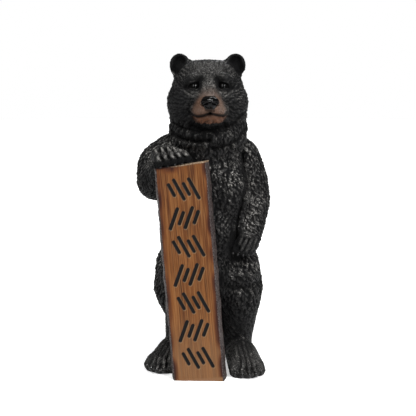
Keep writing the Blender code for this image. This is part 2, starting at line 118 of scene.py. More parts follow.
def lumps(points: np.ndarray, size: float, seed: int) -> np.ndarray:
    """Give smooth random lumps over space.

    Args:
        points: Places, one row each.
        size: The lumps' size, in the units of the places.
        seed: Which lumps.

    Returns:
        A value between -1 and 1 for each place.
    """
    cells = points / size
    corner = np.floor(cells).astype(np.int64)
    part = smooth(cells - corner)
    total = np.zeros(len(points))
    for step in itertools.product((0, 1), repeat=3):
        at = corner + np.array(step)
        mixed = (at[:, 0] * 73856093) ^ (at[:, 1] * 19349663) ^ (at[:, 2] * 83492791)
        mixed = mixed ^ (seed * 26544357)
        mixed = ((mixed ^ (mixed >> 13)) * 1274126177) & 0xFFFFFFFF
        value = ((mixed ^ (mixed >> 15)) & 0xFFFF) / 32767.5 - 1.0
        weight = np.ones(len(points))
        for axis in range(3):
            weight *= part[:, axis] if step[axis] else 1.0 - part[:, axis]
        total += value * weight
    return total


def put(name: str, mesh: bpy.types.Mesh) -> bpy.types.Object:
    """Put a mesh into the scene under a name.

    Args:
        name: The piece's name.
        mesh: Its mesh.

    Returns:
        The piece.
    """
    item = bpy.data.objects.new(name, mesh)
    bpy.context.scene.collection.objects.link(item)
    return item


def store(mesh: bpy.types.Mesh, name: str, values: np.ndarray) -> None:
    """Keep one value for each point of a mesh, for a finish to read."""
    layer = mesh.attributes.new(name, "FLOAT", "POINT")
    layer.data.foreach_set("value", values.astype(np.float32))


def store_places(mesh: bpy.types.Mesh, name: str, places: np.ndarray) -> None:
    """Keep one place for each point of a mesh, for a finish to read."""
    layer = mesh.attributes.new(name, "FLOAT_VECTOR", "POINT")
    layer.data.foreach_set("vector", places.astype(np.float32).ravel())


def keep(name: str, bm: bmesh.types.BMesh) -> bpy.types.Object:
    """Turn a worked mesh into a smooth piece of the scene.

    Args:
        name: The piece's name.
        bm: The worked mesh, which is freed.

    Returns:
        The piece.
    """
    mesh = bpy.data.meshes.new(name)
    bm.to_mesh(mesh)
    bm.free()
    mesh.shade_smooth()
    return put(name, mesh)


class Nodes:
    """Builds one procedural finish, node by node."""

    def __init__(self, name: str) -> None:
        """Start a material with its plain shader.

        Args:
            name: The material's name.
        """
        self.material = bpy.data.materials.new(name)
        self.material.use_nodes = True
        self.tree = self.material.node_tree
        self.shader = self.tree.nodes["Principled BSDF"]

    def add(self, kind: str, **values: object) -> bpy.types.Node:
        """Add a node and set its properties.

        Args:
            kind: Blender's name of the node type.
            **values: Properties of the node.

        Returns:
            The node.
        """
        node = self.tree.nodes.new(kind)
        for key, value in values.items():
            setattr(node, key, value)
        return node

    def feed(self, source: object, target: bpy.types.NodeSocket) -> None:
        """Set a socket from another socket, or to a plain value.

        Args:
            source: The socket or value that it is set from.
            target: The socket to set.
        """
        if isinstance(source, bpy.types.NodeSocket):
            self.tree.links.new(source, target)
        else:
            target.default_value = source

    def set(self, **values: object) -> None:
        """Feed the shader's sockets, named with low lines for spaces."""
        for name, source in values.items():
            self.feed(source, self.shader.inputs[name.replace("_", " ")])

    def mark(self, mark: Mark | Trace) -> bpy.types.NodeSocket:
        """Read a value that the mesh keeps for each point."""
        return self.add("ShaderNodeAttribute", attribute_name=mark.value).outputs["Fac"]

    def own_places(self) -> bpy.types.NodeSocket:
        """Read the object's own places."""
        return self.add("ShaderNodeTexCoord").outputs["Object"]

    def axes(self, source: object) -> bpy.types.NodeOutputs:
        """Part a place or a direction into its X, Y and Z.

        Args:
            source: The place or direction.

        Returns:
            The three values, by the axis's name.
        """
        node = self.add("ShaderNodeSeparateXYZ")
        self.feed(source, node.inputs[0])
        return node.outputs

    def places(self, name: str) -> bpy.types.NodeSocket:
        """Read a place that the mesh keeps for each point."""
        return self.add("ShaderNodeAttribute", attribute_name=name).outputs["Vector"]

    def stretch(self, source: object, scale: Point) -> bpy.types.NodeSocket:
        """Stretch places along each axis.

        Args:
            source: The places.
            scale: The factor along each axis.

        Returns:
            The stretched places.
        """
        node = self.add("ShaderNodeMapping")
        self.feed(source, node.inputs["Vector"])
        node.inputs["Scale"].default_value = scale
        return node.outputs["Vector"]

    def noise(
        self, where: object, scale: float, detail: float = 2.0, rough: float = 0.5
    ) -> bpy.types.NodeSocket:
        """Give cloudy noise over places.

        Args:
            where: The places.
            scale: How many clouds lie in a metre.
            detail: How many finer layers it has.
            rough: How strong each finer layer is.

        Returns:
            Values between 0 and 1.
        """
        node = self.add("ShaderNodeTexNoise")
        self.feed(where, node.inputs["Vector"])
        node.inputs["Scale"].default_value = scale
        node.inputs["Detail"].default_value = detail
        node.inputs["Roughness"].default_value = rough
        return node.outputs["Fac"]

    def streaks(self, value: object, scale: float, detail: float = 1.0) -> bpy.types.NodeSocket:
        """Give noise along one value, for strands laid side by side.

        Args:
            value: The value along which the noise runs.
            scale: How many strands lie in one of it.
            detail: How many finer layers it has.

        Returns:
            Values between 0 and 1.
        """
        node = self.add("ShaderNodeTexNoise", noise_dimensions="1D")
        self.feed(value, node.inputs["W"])
        node.inputs["Scale"].default_value = scale
        node.inputs["Detail"].default_value = detail
        return node.outputs["Fac"]

    def sums(self, operation: str, first: object, second: object) -> bpy.types.NodeSocket:
        """Do one sum on two values, held between 0 and 1.

        Args:
            operation: Blender's name of the sum.
            first: The first value.
            second: The second value.

        Returns:
            The result.
        """
        node = self.add("ShaderNodeMath", operation=operation, use_clamp=True)
        self.feed(first, node.inputs[0])
        self.feed(second, node.inputs[1])
        return node.outputs[0]

    def times(self, first: object, second: object) -> bpy.types.NodeSocket:
        """Multiply two values."""
        return self.sums("MULTIPLY", first, second)

    def ramp(self, source: object, low: float, high: float) -> bpy.types.NodeSocket:
        """Spread the values between low and high over 0 to 1, eased.

        Args:
            source: The values.
            low: The value that becomes 0.
            high: The value that becomes 1.

        Returns:
            The spread values.
        """
        node = self.add("ShaderNodeMapRange", interpolation_type="SMOOTHSTEP")
        self.feed(source, node.inputs["Value"])
        node.inputs["From Min"].default_value = low
        node.inputs["From Max"].default_value = high
        return node.outputs["Result"]

    def between(self, part: object, low: float, high: float) -> bpy.types.NodeSocket:
        """Give a value between two.

        Args:
            part: 0 for the low one, 1 for the high one.
            low: The low value.
            high: The high value.

        Returns:
            The value.
        """
        node = self.add("ShaderNodeMapRange")
        self.feed(part, node.inputs["Value"])
        node.inputs["To Min"].default_value = low
        node.inputs["To Max"].default_value = high
        return node.outputs["Result"]

    def blend(self, amount: object, first: object, second: object) -> bpy.types.NodeSocket:
        """Blend two colours, each a socket or three numbers.

        Args:
            amount: How much of the second shows.
            first: The colour below.
            second: The colour above.

        Returns:
            The blended colour.
        """
        node = self.add("ShaderNodeMix", data_type="RGBA")
        self.feed(amount, node.inputs["Factor"])
        for source, place in ((first, 6), (second, 7)):
            colour = source if isinstance(source, bpy.types.NodeSocket) else (*source, 1.0)
            self.feed(colour, node.inputs[place])
        return node.outputs[2]

    def bump(self, height: object, depth: float) -> bpy.types.NodeSocket:
        """Turn a height into a bump of a depth in metres.

        Args:
            height: The height, between 0 and 1.
            depth: How far 1 stands out, in metres.

        Returns:
            The bent normals.
        """
        node = self.add("ShaderNodeBump")
        node.inputs["Strength"].default_value = 1.0
        node.inputs["Distance"].default_value = depth
        self.feed(height, node.inputs["Height"])
        return node.outputs["Normal"]


@dataclass(frozen=True)
class FurPaint:
    """Charcoal paint over cut fur, with grey dry-brush on the tips and brown on the muzzle, grey painted
    highlight and black painted shade.
    """

    charcoal: Point = (0.0105, 0.0105, 0.011)
    soot: Point = (0.0016, 0.0016, 0.0018)
    # Grey of the dust on the tips, also used as painted highlight on what faces up, on lit patches, rims and
    # ridges.
    dust_and_highlight_grey: Point = (0.40, 0.385, 0.36)
    tan: Point = (0.19, 0.115, 0.083)
    tan_deep: Point = (0.085, 0.042, 0.024)
    rust: Point = (0.135, 0.052, 0.024)
    # Near black, for the gloss paint and for the painted shade of the SHADE mark.
    ink: Point = (0.0018, 0.0018, 0.002)
    strand_depth: float = 0.0012
    speck_scale: float = 500.0
    cloud_scale: float = 26.0
    # The least share of the dust and painted highlight that is kept on faces that look down.
    least_upward_highlight: float = 0.22
    least_strand: float = 0.12
    gloss: float = 0.055
    specular: float = 0.21

    def material(self) -> bpy.types.Material:
        """Make the finish.

        Returns:
            A material that reads the skin's marks.
        """
        nodes = Nodes("painted_fur")
        place = nodes.own_places()
        strands = nodes.streaks(nodes.mark(Mark.STRAND), 1.0)
        specks = nodes.noise(place, self.speck_scale, 3.0, 0.7)
        fine = nodes.mark(Mark.FINE)
        lined = nodes.times(nodes.ramp(strands, 0.38, 0.60), fine)
        brown = nodes.blend(nodes.ramp(specks, 0.3, 0.7), self.tan_deep, self.tan)
        brown = nodes.blend(nodes.mark(Mark.RUST), brown, self.rust)
        # Painted highlight from the RIM mark, broken by the specks, with pale fur strokes in the ears.
        worn = nodes.times(nodes.mark(Mark.RIM), nodes.ramp(specks, 0.3, 0.6))
        base = nodes.blend(nodes.sums("MAXIMUM", lined, self.least_strand), self.soot, self.charcoal)
        for amount, colour in (
            # Dust on the tips, and painted highlight on what faces up.
            (self.brushed_and_lit(nodes, specks, lined), self.dust_and_highlight_grey),
            (nodes.mark(Mark.TAN), brown),
            # Painted shade: ink where the SHADE mark lies.
            (nodes.mark(Mark.SHADE), self.ink),
            # Painted highlight where the RIM mark lies.
            (worn, self.dust_and_highlight_grey),
            (nodes.mark(Mark.GLOSS), self.ink),
        ):
            base = nodes.blend(amount, base, colour)
        nodes.set(
            Base_Color=base,
            Specular_IOR_Level=self.specular,
            Roughness=self.roughness(nodes, specks),
            Normal=nodes.bump(nodes.times(strands, fine), self.strand_depth),
        )
        return nodes.material

    def brushed_and_lit(self, nodes: Nodes, specks: object, lined: object) -> bpy.types.NodeSocket:
        """Give how much grey the brush left, on the tips and broken up, and paint it as highlight most on
        what faces up.

        Args:
            nodes: The finish.
            specks: Fine noise.
            lined: The strands.

        Returns:
            The amount of dust and painted highlight.
        """
        clouds = nodes.noise(nodes.own_places(), self.cloud_scale, 2.0)
        broken = nodes.times(nodes.ramp(specks, 0.44, 0.62), nodes.between(clouds, 0.35, 1.35))
        # Painted highlight: more grey on faces that point up, where the light falls.
        level = nodes.axes(nodes.add("ShaderNodeNewGeometry").outputs["Normal"])["Z"]
        upward = nodes.sums("MAXIMUM", nodes.ramp(level, -0.15, 0.65), self.least_upward_highlight)
        dust = nodes.times(nodes.times(nodes.mark(Mark.DUST_AND_HIGHLIGHT), broken), upward)
        return nodes.times(dust, nodes.between(lined, 0.7, 2.6))

    def roughness(self, nodes: Nodes, specks: object) -> bpy.types.NodeSocket:
        """Give the roughness: uneven on the fur, dull in the shade and low on the gloss.

        Args:
            nodes: The finish.
            specks: Fine noise.

        Returns:
            The roughness at each place.
        """
        rough = nodes.sums("ADD", nodes.between(specks, 0.16, 0.6), nodes.mark(Mark.SHADE))
        node = nodes.add("ShaderNodeMix", data_type="FLOAT")
        for place, source in ((0, nodes.mark(Mark.GLOSS)), (2, rough), (3, self.gloss)):
            nodes.feed(source, node.inputs[place])
        return node.outputs[0]


@dataclass(frozen=True)
class GlossPaint:
    """Black gloss, on the claws and the eyes."""

    name: str
    colour: Point
    glow: Point
    roughness: float
    specular: float
    wear_scale: float = 260.0
    dulled: float = 0.15

    def material(self) -> bpy.types.Material:
        """Make the finish, a little worn where the cloud is light.

        Returns:
            The material.
        """
        nodes = Nodes(self.name)
        wear = nodes.ramp(nodes.noise(nodes.own_places(), self.wear_scale, 3.0), 0.55, 0.75)
        nodes.set(
            Base_Color=nodes.blend(wear, self.colour, self.glow),
            Roughness=nodes.between(wear, self.roughness, self.roughness + self.dulled),
            Specular_IOR_Level=self.specular,
        )
        return nodes.material


CLAW_GLOSS = GlossPaint("claw_gloss", (0.006, 0.006, 0.006), (0.06, 0.055, 0.05), 0.16, 0.5)
EYE_GLOSS = GlossPaint("eye_gloss", (0.002, 0.002, 0.002), (0.004, 0.003, 0.0025), 0.04, 0.14)


@dataclass(frozen=True)
class StainedWood:
    """Orange-brown stained board with dark strokes, grey rough edges, scorched front edges and a pale sawn
    top, with the paw's shadow painted at the left of the top.
    """

    honey: Point = (0.185, 0.066, 0.016)
    amber: Point = (0.105, 0.034, 0.009)
    umber: Point = (0.024, 0.008, 0.004)
    straw: Point = (0.30, 0.135, 0.045)
    # Reddish and dark scorch of the front's edges, also used for the paw's painted shadow at the top left.
    ember_and_shadow: Point = (0.115, 0.034, 0.010)
    char_and_shadow: Point = (0.030, 0.008, 0.005)
    # Paler colour towards the board's foot.
    pale_low: Point = (0.225, 0.118, 0.055)
    bark: Point = (0.020, 0.013, 0.012)
    bark_light: Point = (0.125, 0.102, 0.097)
    sawn: Point = (0.46, 0.36, 0.25)
    ink: Point = (0.0025, 0.0028, 0.003)
    # Painted highlight along the lower right rim of each stroke.
    halo: Point = (0.27, 0.17, 0.09)
    specular: float = 0.2
    grain_depth: float = 0.0004
    # Where the board turns paler towards its foot, and palest along the foot itself.
    pale_below: float = 0.16
    pale_fully: float = 0.02
    palest_below: float = 0.007
    palest_fully: float = 0.002
    # Where the paw's painted shadow on the top end fades out, across the board.
    paw_shadow_fades_from: float = -0.028
    paw_shadow_gone_at: float = 0.004

    def material(self) -> bpy.types.Material:
        """Make the finish from the board's own places: across, through and along.

        Returns:
            A material that reads the board's marks.
        """
        nodes = Nodes("stained_wood")
        plank = nodes.places("plank")
        streak = nodes.noise(nodes.stretch(plank, (1.0, 1.0, 0.03)), 300.0, 3.0, 0.55)
        pores = nodes.noise(nodes.stretch(plank, (1.0, 1.0, 0.06)), 1100.0, 2.0, 0.6)
        lines = nodes.noise(nodes.stretch(plank, (1.0, 1.0, 0.02)), 520.0, 2.0, 0.6)
        base = self.grain(nodes, plank, streak, pores, lines)
        place = nodes.axes(plank)
        grit = nodes.noise(plank, 330.0, 3.0, 0.75)
        # Paler towards the foot of the board, and palest along the foot.
        pale_low = nodes.ramp(place["Z"], self.pale_below, self.pale_fully)
        # Scorch on the front's edges, and the paw's painted shadow at the top left.
        scorch_and_shadow = nodes.times(nodes.mark(Trace.EDGE), nodes.between(streak, 0.5, 1.5))
        palest_foot = nodes.ramp(place["Z"], self.palest_below, self.palest_fully)
        rough_edge = nodes.blend(nodes.ramp(grit, 0.42, 0.62), self.bark, self.bark_light)
        end_grain = nodes.blend(nodes.ramp(grit, 0.35, 0.65), self.amber, self.sawn)
        # The top end stays dark on the left as the paw's painted shadow, and shows pale end grain to the
        # right.
        bare = nodes.ramp(place["X"], self.paw_shadow_fades_from, self.paw_shadow_gone_at)
        for amount, colour in (
            (nodes.times(pale_low, nodes.between(streak, 0.1, 1.0)), self.pale_low),
            (nodes.times(nodes.ramp(scorch_and_shadow, 0.02, 0.4), nodes.between(lines, 0.3, 1.2)), self.ember_and_shadow),
            (nodes.ramp(scorch_and_shadow, 0.2, 0.8), self.char_and_shadow),
            (nodes.times(palest_foot, 0.8), self.pale_low),
            (nodes.mark(Trace.BARK), rough_edge),
            # The top end painted dark, as the paw's painted shadow where the end grain does not show.
            (nodes.mark(Trace.SAWN), self.char_and_shadow),
            (nodes.times(nodes.mark(Trace.SAWN), bare), end_grain),
            # Painted highlight along the strokes' lower right rims.
            (nodes.mark(Trace.HALO), self.halo),
            (nodes.mark(Trace.STROKE), self.ink),
        ):
            base = nodes.blend(amount, base, colour)
        relief = nodes.sums("ADD", nodes.times(streak, 0.7), nodes.times(pores, 0.3))
        nodes.set(
            Base_Color=base,
            Specular_IOR_Level=self.specular,
            Roughness=nodes.between(nodes.ramp(streak, 0.3, 0.7), 0.38, 0.58),
            Normal=nodes.bump(relief, self.grain_depth),
        )
        return nodes.material

    def grain(
        self, nodes: Nodes, plank: object, streak: object, pores: object, lines: object
    ) -> bpy.types.NodeSocket:
        """Give the stain's colour along the grain, from broad bands to fine pores.

        Args:
            nodes: The finish.
            plank: The board's own places.
            streak: Dark streaks.
            pores: Fine pores.
            lines: Pale lines.

        Returns:
            The colour.
        """
        band = nodes.noise(nodes.stretch(plank, (1.0, 0.6, 0.06)), 75.0, 2.0, 0.5)
        bend = nodes.noise(nodes.stretch(plank, (1.0, 1.0, 0.25)), 14.0, 2.0)
        base = nodes.blend(nodes.ramp(band, 0.32, 0.68), self.amber, self.honey)
        for source, low, high, amount, colour in (
            (streak, 0.50, 0.66, 0.6, self.umber),
            (pores, 0.56, 0.75, 0.35, self.umber),
            (bend, 0.55, 0.8, 0.3, self.amber),
            (lines, 0.48, 0.62, 0.55, self.straw),
        ):
            base = nodes.blend(nodes.times(nodes.ramp(source, low, high), amount), base, colour)
        return base


class Clay:
    """A pile of overlapping masses, placed in hundredths of the height."""

    ball_fineness = 4
    limb_points = 260

    def __init__(self) -> None:
        """Start with nothing."""
        self.bm = bmesh.new()

    def ball(self, centre: Sequence[float], radii: Point, turn: Point = (0.0, 0.0, 0.0)) -> None:
        """Add an ellipsoid.

        Args:
            centre: Its middle.
            radii: Its radii.
            turn: How far it is turned about X, Y and Z, in degrees.
        """
        angles = Euler([math.radians(angle) for angle in turn])
        size = Matrix.Diagonal((*share(radii), 1.0))
        place = Matrix.Translation(share(centre)) @ angles.to_matrix().to_4x4() @ size
        bmesh.ops.create_icosphere(self.bm, subdivisions=self.ball_fineness, radius=1.0, matrix=place)

    def limb(self, *stations: tuple[Sequence[float], float]) -> None:
        """Add a limb through (point, radius) stations, hulled from one to the next.

        Args:
            *stations: Points in hundredths of the height, each with the limb's radius there.
        """
        for pair in zip(stations, stations[1:]):
            verts = []
            for point, radius in pair:
                for direction in self.sphere(self.limb_points):
                    verts.append(self.bm.verts.new(share(point) + direction * radius * HUNDREDTH))
            hull = bmesh.ops.convex_hull(self.bm, input=verts)
            inside = {part for part in hull["geom_interior"] if isinstance(part, bmesh.types.BMVert)}
            bmesh.ops.delete(self.bm, geom=list(inside), context="VERTS")

    @staticmethod
    def sphere(count: int) -> Iterator[Vector]:
        """Spread directions evenly over a sphere.

        Args:
            count: How many directions.

        Returns:
            The directions, one after the other.
        """
        golden = math.pi * (3.0 - math.sqrt(5.0))
        for index in range(count):
            z = 1.0 - 2.0 * (index + 0.5) / count
            ring = math.sqrt(1.0 - z * z)
            yield Vector((ring * math.cos(golden * index), ring * math.sin(golden * index), z))

    def fuse(self, voxel: float, smoothing: int) -> bpy.types.Mesh:
        """Fuse the pile into one skin and soften where the masses meet.

        Args:
            voxel: The skin's fineness in metres.
            smoothing: How many times it is softened.

        Returns:
            The skin's mesh.
        """
        bmesh.ops.recalc_face_normals(self.bm, faces=self.bm.faces)
        mesh = bpy.data.meshes.new("clay")
        self.bm.to_mesh(mesh)
        self.bm.free()
        item = put("clay", mesh)
        skin = item.modifiers.new("skin", "REMESH")
        skin.mode = "VOXEL"
        skin.voxel_size = voxel
        soften = item.modifiers.new("soften", "SMOOTH")
        soften.factor = 0.5
        soften.iterations = smoothing
        graph = bpy.context.evaluated_depsgraph_get()
        fused = bpy.data.meshes.new_from_object(item.evaluated_get(graph))
        bpy.data.objects.remove(item)
        return fused


class Skin:
    """The points of a fused figure, which the carving moves and marks."""

    front_depth = -3.0

    def __init__(self, mesh: bpy.types.Mesh) -> None:
        """Read the points and normals of a mesh.

        Args:
            mesh: The figure's fused mesh.
        """
        self.mesh = mesh
        self.read()
        self.marks = {mark: np.zeros(len(self.points)) for mark in Mark}

    def read(self) -> None:
        """Read the points and normals again from the mesh."""
        count = len(self.mesh.vertices)
        points = np.empty(count * 3)
        normals = np.empty(count * 3)
        self.mesh.vertices.foreach_get("co", points)
        self.mesh.vertex_normals.foreach_get("vector", normals)
        self.points = points.reshape(-1, 3)
        self.normals = normals.reshape(-1, 3)

    def write(self) -> None:
        """Put the points back into the mesh, and renew the normals."""
        self.mesh.vertices.foreach_set("co", self.points.ravel())
        self.mesh.update()
        self.read()

    def near(self, line: Line) -> np.ndarray:
        """Give each point's distance to a line, in hundredths of the height.

        Args:
            line: Places of three numbers, or places seen from the front as across and height.

        Returns:
            The distances. A line seen from the front leaves the figure's back far off.
        """
        flat = len(line[0]) == 2
        points = self.points[:, (0, 2)] if flat else self.points
        nearest = np.full(len(points), np.inf)
        places = [np.array(place) * HUNDREDTH for place in line]
        if len(places) == 1:
            places = places * 2
        for start, end in zip(places, places[1:]):
            run = end - start
            along = np.clip((points - start) @ run / max(float(run @ run), 1e-12), 0.0, 1.0)
            gap = np.linalg.norm(points - start - along[:, None] * run, axis=1)
            nearest = np.minimum(nearest, gap)
        if flat:
            nearest[self.points[:, 1] > self.front_depth * HUNDREDTH] = np.inf
        return nearest / HUNDREDTH

    def top(self, place: Vector) -> Vector:
        """Drop a place, in hundredths of the height, onto the skin under it.

        Args:
            place: The place to drop from.

        Returns:
            The place on the skin.
        """
        points = self.points / HUNDREDTH
        beside = np.hypot(points[:, 0] - place.x, points[:, 1] - place.y) < 0.5
        under = points[beside & (points[:, 2] < place.z), 2]
        return Vector((place.x, place.y, float(under.max()) if len(under) else place.z * 0.5))

    def gouge(
        self, line: Line, width: float, depth: float, way: Point | None = None, wall: float = 1.0
    ) -> None:
        """Press a round-bottomed groove along a line.

        Args:
            line: Places along the groove.
            width: How far its effect reaches to each side.
            depth: Its depth, or minus the height of a ridge.
            way: The direction that the points move, or None for inwards.
            wall: The share of the width that its side wall takes, less for a flat bottom.
        """
        fall = smooth((1.0 - self.near(line) / width) / wall) * depth * HUNDREDTH
        if way is None:
            self.points -= self.normals * fall[:, None]
        else:
            self.points += np.array(Vector(way).normalized()) * fall[:, None]

    def tint(self, mark: Mark, line: Line, width: float, amount: float = 1.0, edge: float = 0.35) -> None:
        """Mark the points near a line, fading over the outer share of the width."""
        self.add(mark, amount * smooth((1.0 - self.near(line) / width) / edge))

    def add(self, mark: Mark, values: np.ndarray) -> None:
        """Raise a mark to the values where they are higher."""
        self.marks[mark] = np.maximum(self.marks[mark], values)


@dataclass
class Board:
    """The sign board: a leaning plank with bark-like edges and rows of strokes."""

    width: float = 0.0945
    length: float = 0.408
    thickness: float = 0.036
    flare: float = 0.0040
    chamfer: float = 0.0026
    foot_x: float = -0.0162
    back_y: float = -0.100
    side_lean: float = math.radians(4.8)
    back_lean: float = math.radians(4.0)
    turn: float = math.radians(1.5)
    top_slope: float = math.radians(4.0)
    stroke_rows: int = 7
    strokes_per_row: int = 4
    stroke_width: float = 0.0062
    stroke_depth: float = 0.0016
    stroke_slant: float = math.radians(24.0)
    stroke_gap: float = 0.0076
    row_height: float = 0.045
    row_top_margin: float = 0.022
    row_foot_margin: float = 0.022
    rows: int = 430
    front_columns: int = 110
    side_columns: int = 23
    back_columns: int = 33
    end_rings: int = 7
    scorch: float = 0.0145
    # How far below the top the paw's painted shadow reaches.
    paw_shadow_reach: float = 0.016
    stroke_highlight_offset: float = 0.0009
    fur_clearance: float = 0.0016
    bark_relief: tuple[Relief, ...] = (
        ((1.0, 1.0, 0.6), 0.006, 3, 0.0009),
        ((1.0, 1.0, 1.0), 0.0024, 4, 0.0006),
        ((0.0, 0.0, 1.0), 0.02, 5, 0.0011),
    )
    grain_relief: tuple[Relief, ...] = (
        ((1.0, 0.0, 0.03), 0.0013, 6, 0.00022),
        ((1.0, 0.0, 0.1), 0.009, 7, 0.0004),
    )

    def place(self) -> Matrix:
        """Give the board's frame: X across it, Y through it from its front, Z along it.

        Returns:
            The board's frame.
        """
        turned = Matrix.Rotation(-self.turn, 4, "Z")
        leaned = Matrix.Rotation(-self.side_lean, 4, "Y") @ Matrix.Rotation(-self.back_lean, 4, "X")
        foot = Vector((self.foot_x, self.back_y - self.thickness, 0.0))
        return Matrix.Translation(foot) @ turned @ leaned

    def top(self, across: float) -> float:
        """Give the height of the top end, along the board, at a place across it."""
        return self.length + across * math.tan(self.top_slope)

    def foot(self, across: float, through: float) -> float:
        """Give the place along the board where it meets the floor."""
        place = self.place()
        return -(place[2][0] * across + place[2][1] * through + place[2][3]) / place[2][2]

    def outline(self) -> list[tuple[float, float]]:
        """Outline the board in plan, anticlockwise from its front left arris.

        Returns:
            Places across and through the board.
        """
        half = self.width / 2.0
        inner = half - self.chamfer
        front = [(x, 0.0) for x in np.linspace(-inner, inner, self.front_columns + 1)]
        side = []
        for step in np.linspace(0.0, 1.0, self.side_columns + 1)[1:]:
            through = self.chamfer + (self.thickness - self.chamfer) * step
            bulge = self.flare * math.sin(0.5 * math.pi * min(1.0, step * 1.25))
            side.append((half + bulge, through))
        arris = []
        for angle in (0.4, 0.8, 1.2):
            arris.append((inner + self.chamfer * math.sin(angle), self.chamfer * (1.0 - math.cos(angle))))
        right = arris + [(half, self.chamfer)] + side
        outer = side[-1][0]
        back = [(x, self.thickness) for x in np.linspace(outer, -outer, self.back_columns + 1)[1:-1]]
        left = [(-x, y) for x, y in reversed(right)]
        return front + right + back + left

    def seat(self, across: float, through: float) -> Vector:
        """Give a place on the board's top end, in hundredths of the height."""
        return self.place() @ Vector((across, through, self.top(across))) / HUNDREDTH

    def stroke_field(self, across: np.ndarray, along: np.ndarray) -> np.ndarray:
        """Give how far inside a carved stroke each place is, or how far outside as minus.

        Args:
            across: Places across the board.
            along: The same places along it.

        Returns:
            The distances in metres.
        """
        inside = np.full(len(across), -1.0)
        first = self.row_foot_margin + self.row_height / 2.0
        last = self.length - self.row_top_margin - self.row_height / 2.0
        radius = self.stroke_width / 2.0
        for row in range(self.stroke_rows):
            height = first + (last - first) * row / max(1, self.stroke_rows - 1)
            slant = self.stroke_slant if row % 2 else -self.stroke_slant
            for index in range(self.strokes_per_row):
                middle = (index - (self.strokes_per_row - 1) / 2.0) * (self.stroke_width + self.stroke_gap)
                length = self.row_height * (1.0 if (index + row) % 2 else 0.62)
                reach = length / 2.0 - radius
                x = across - middle
                z = along - height
                run = np.clip(x * math.sin(slant) + z * math.cos(slant), -reach, reach)
                gap = np.hypot(x - run * math.sin(slant), z - run * math.cos(slant))
                inside = np.maximum(inside, radius - gap)
        return inside

    def build(self, shift: Vector) -> bpy.types.Object:
        """Model the board: its grain, its strokes and its rough edges.

        Args:
            shift: From the figure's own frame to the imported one.

        Returns:
            The board's object.
        """
        outline = self.outline()
        tops = np.array([self.top(x) for x, _ in outline])
        plank, outward = self.walls(outline, tops)
        marks = self.carve(plank, outward, np.tile(tops, self.rows + 1))
        verts, faces = self.close(outline, plank)
        mesh = bpy.data.meshes.new("sign_board_finished")
        places = np.array(verts)
        mesh.from_pydata((places @ np.array(self.place().to_3x3()).T).tolist(), [], faces)
        mesh.transform(Matrix.Translation(shift + self.place().translation))
        ends = len(places) - len(plank)
        for trace, values in marks.items():
            tail = np.zeros(ends)
            if trace is Trace.SAWN:
                tail[ends // 2:] = 1.0
            store(mesh, trace.value, np.concatenate([values, tail]))
        store_places(mesh, "plank", places)
        bm = bmesh.new()
        bm.from_mesh(mesh)
        bmesh.ops.remove_doubles(bm, verts=bm.verts[:], dist=0.00001)
        bmesh.ops.recalc_face_normals(bm, faces=bm.faces[:])
        bm.to_mesh(mesh)
        bm.free()
        mesh.shade_smooth()
        mesh.set_sharp_from_angle(angle=math.radians(50.0))
        return put("sign_board_finished", mesh)

    def walls(self, outline: list[tuple[float, float]], tops: np.ndarray) -> tuple[np.ndarray, np.ndarray]:
        """Lay the points of the walls, row by row from the floor up.

        Args:
            outline: The board in plan.
            tops: The height of the top end over each place of the outline.

        Returns:
            The points in the board's own frame, and the way outwards at each.
        """
        around = np.array(outline)
        run = np.roll(around, -1, axis=0) - np.roll(around, 1, axis=0)
        out = np.stack([run[:, 1], -run[:, 0]], axis=1)
        out /= np.linalg.norm(out, axis=1)[:, None]
        feet = np.array([self.foot(x, y) for x, y in outline])
        levels = np.linspace(0.0, 1.0, self.rows + 1)[:, None]
        along = feet + (tops - feet) * levels
        across = np.broadcast_to(around[:, 0], along.shape)
        through = np.broadcast_to(around[:, 1], along.shape)
        plank = np.stack([across.ravel(), through.ravel(), along.ravel()], axis=1)
        outward = np.zeros_like(plank)
        outward[:, :2] = np.tile(out, (self.rows + 1, 1))
        return plank, outward

    @staticmethod
    def relief(plank: np.ndarray, layers: tuple[Relief, ...]) -> np.ndarray:
        """Add up layers of lumps, each with its stretch, size, seed and depth."""
        return sum(lumps(plank * stretch, size, seed) * depth for stretch, size, seed, depth in layers)

    def carve(self, plank: np.ndarray, outward: np.ndarray, tops: np.ndarray) -> dict[Trace, np.ndarray]:
        """Press strokes, grain and bark into the walls, and mark them.

        Args:
            plank: The points of the walls, which are moved.
            outward: The way outwards at each point.
            tops: The height of the top end over each point.

        Returns:
            What the finish reads.
        """
        front = outward[:, 1] < -0.7
        bark = 1.0 - smooth((self.width / 2.0 - self.chamfer - np.abs(plank[:, 0]) + 0.0012) / 0.0012)
        on_side = np.abs(outward[:, 0]) > 0.3
        lift = np.where(
            on_side, self.relief(plank, self.bark_relief), self.relief(plank, self.grain_relief)
        )
        inside = np.where(front, self.stroke_field(plank[:, 0], plank[:, 2]), -1.0)
        lift -= self.stroke_depth * smooth((inside + 0.0004) / 0.0012)
        plank += outward * lift[:, None]
        return {
            Trace.STROKE: smooth((inside + 0.0006) / 0.0006),
            # Painted highlight along each stroke's lower right rim.
            Trace.HALO: 0.55 * smooth((self.stroke_highlight_field(plank, front) + 0.0012) / 0.0012),
            Trace.BARK: np.where(plank[:, 1] > self.thickness - 0.0015, 0.7, bark),
            # Scorch on the front's edges, and the paw's painted shadow.
            Trace.EDGE: np.where(front, self.edge_field(plank), 0.0),
            Trace.SAWN: smooth((plank[:, 2] - tops + 0.0028) / 0.0016),
        }

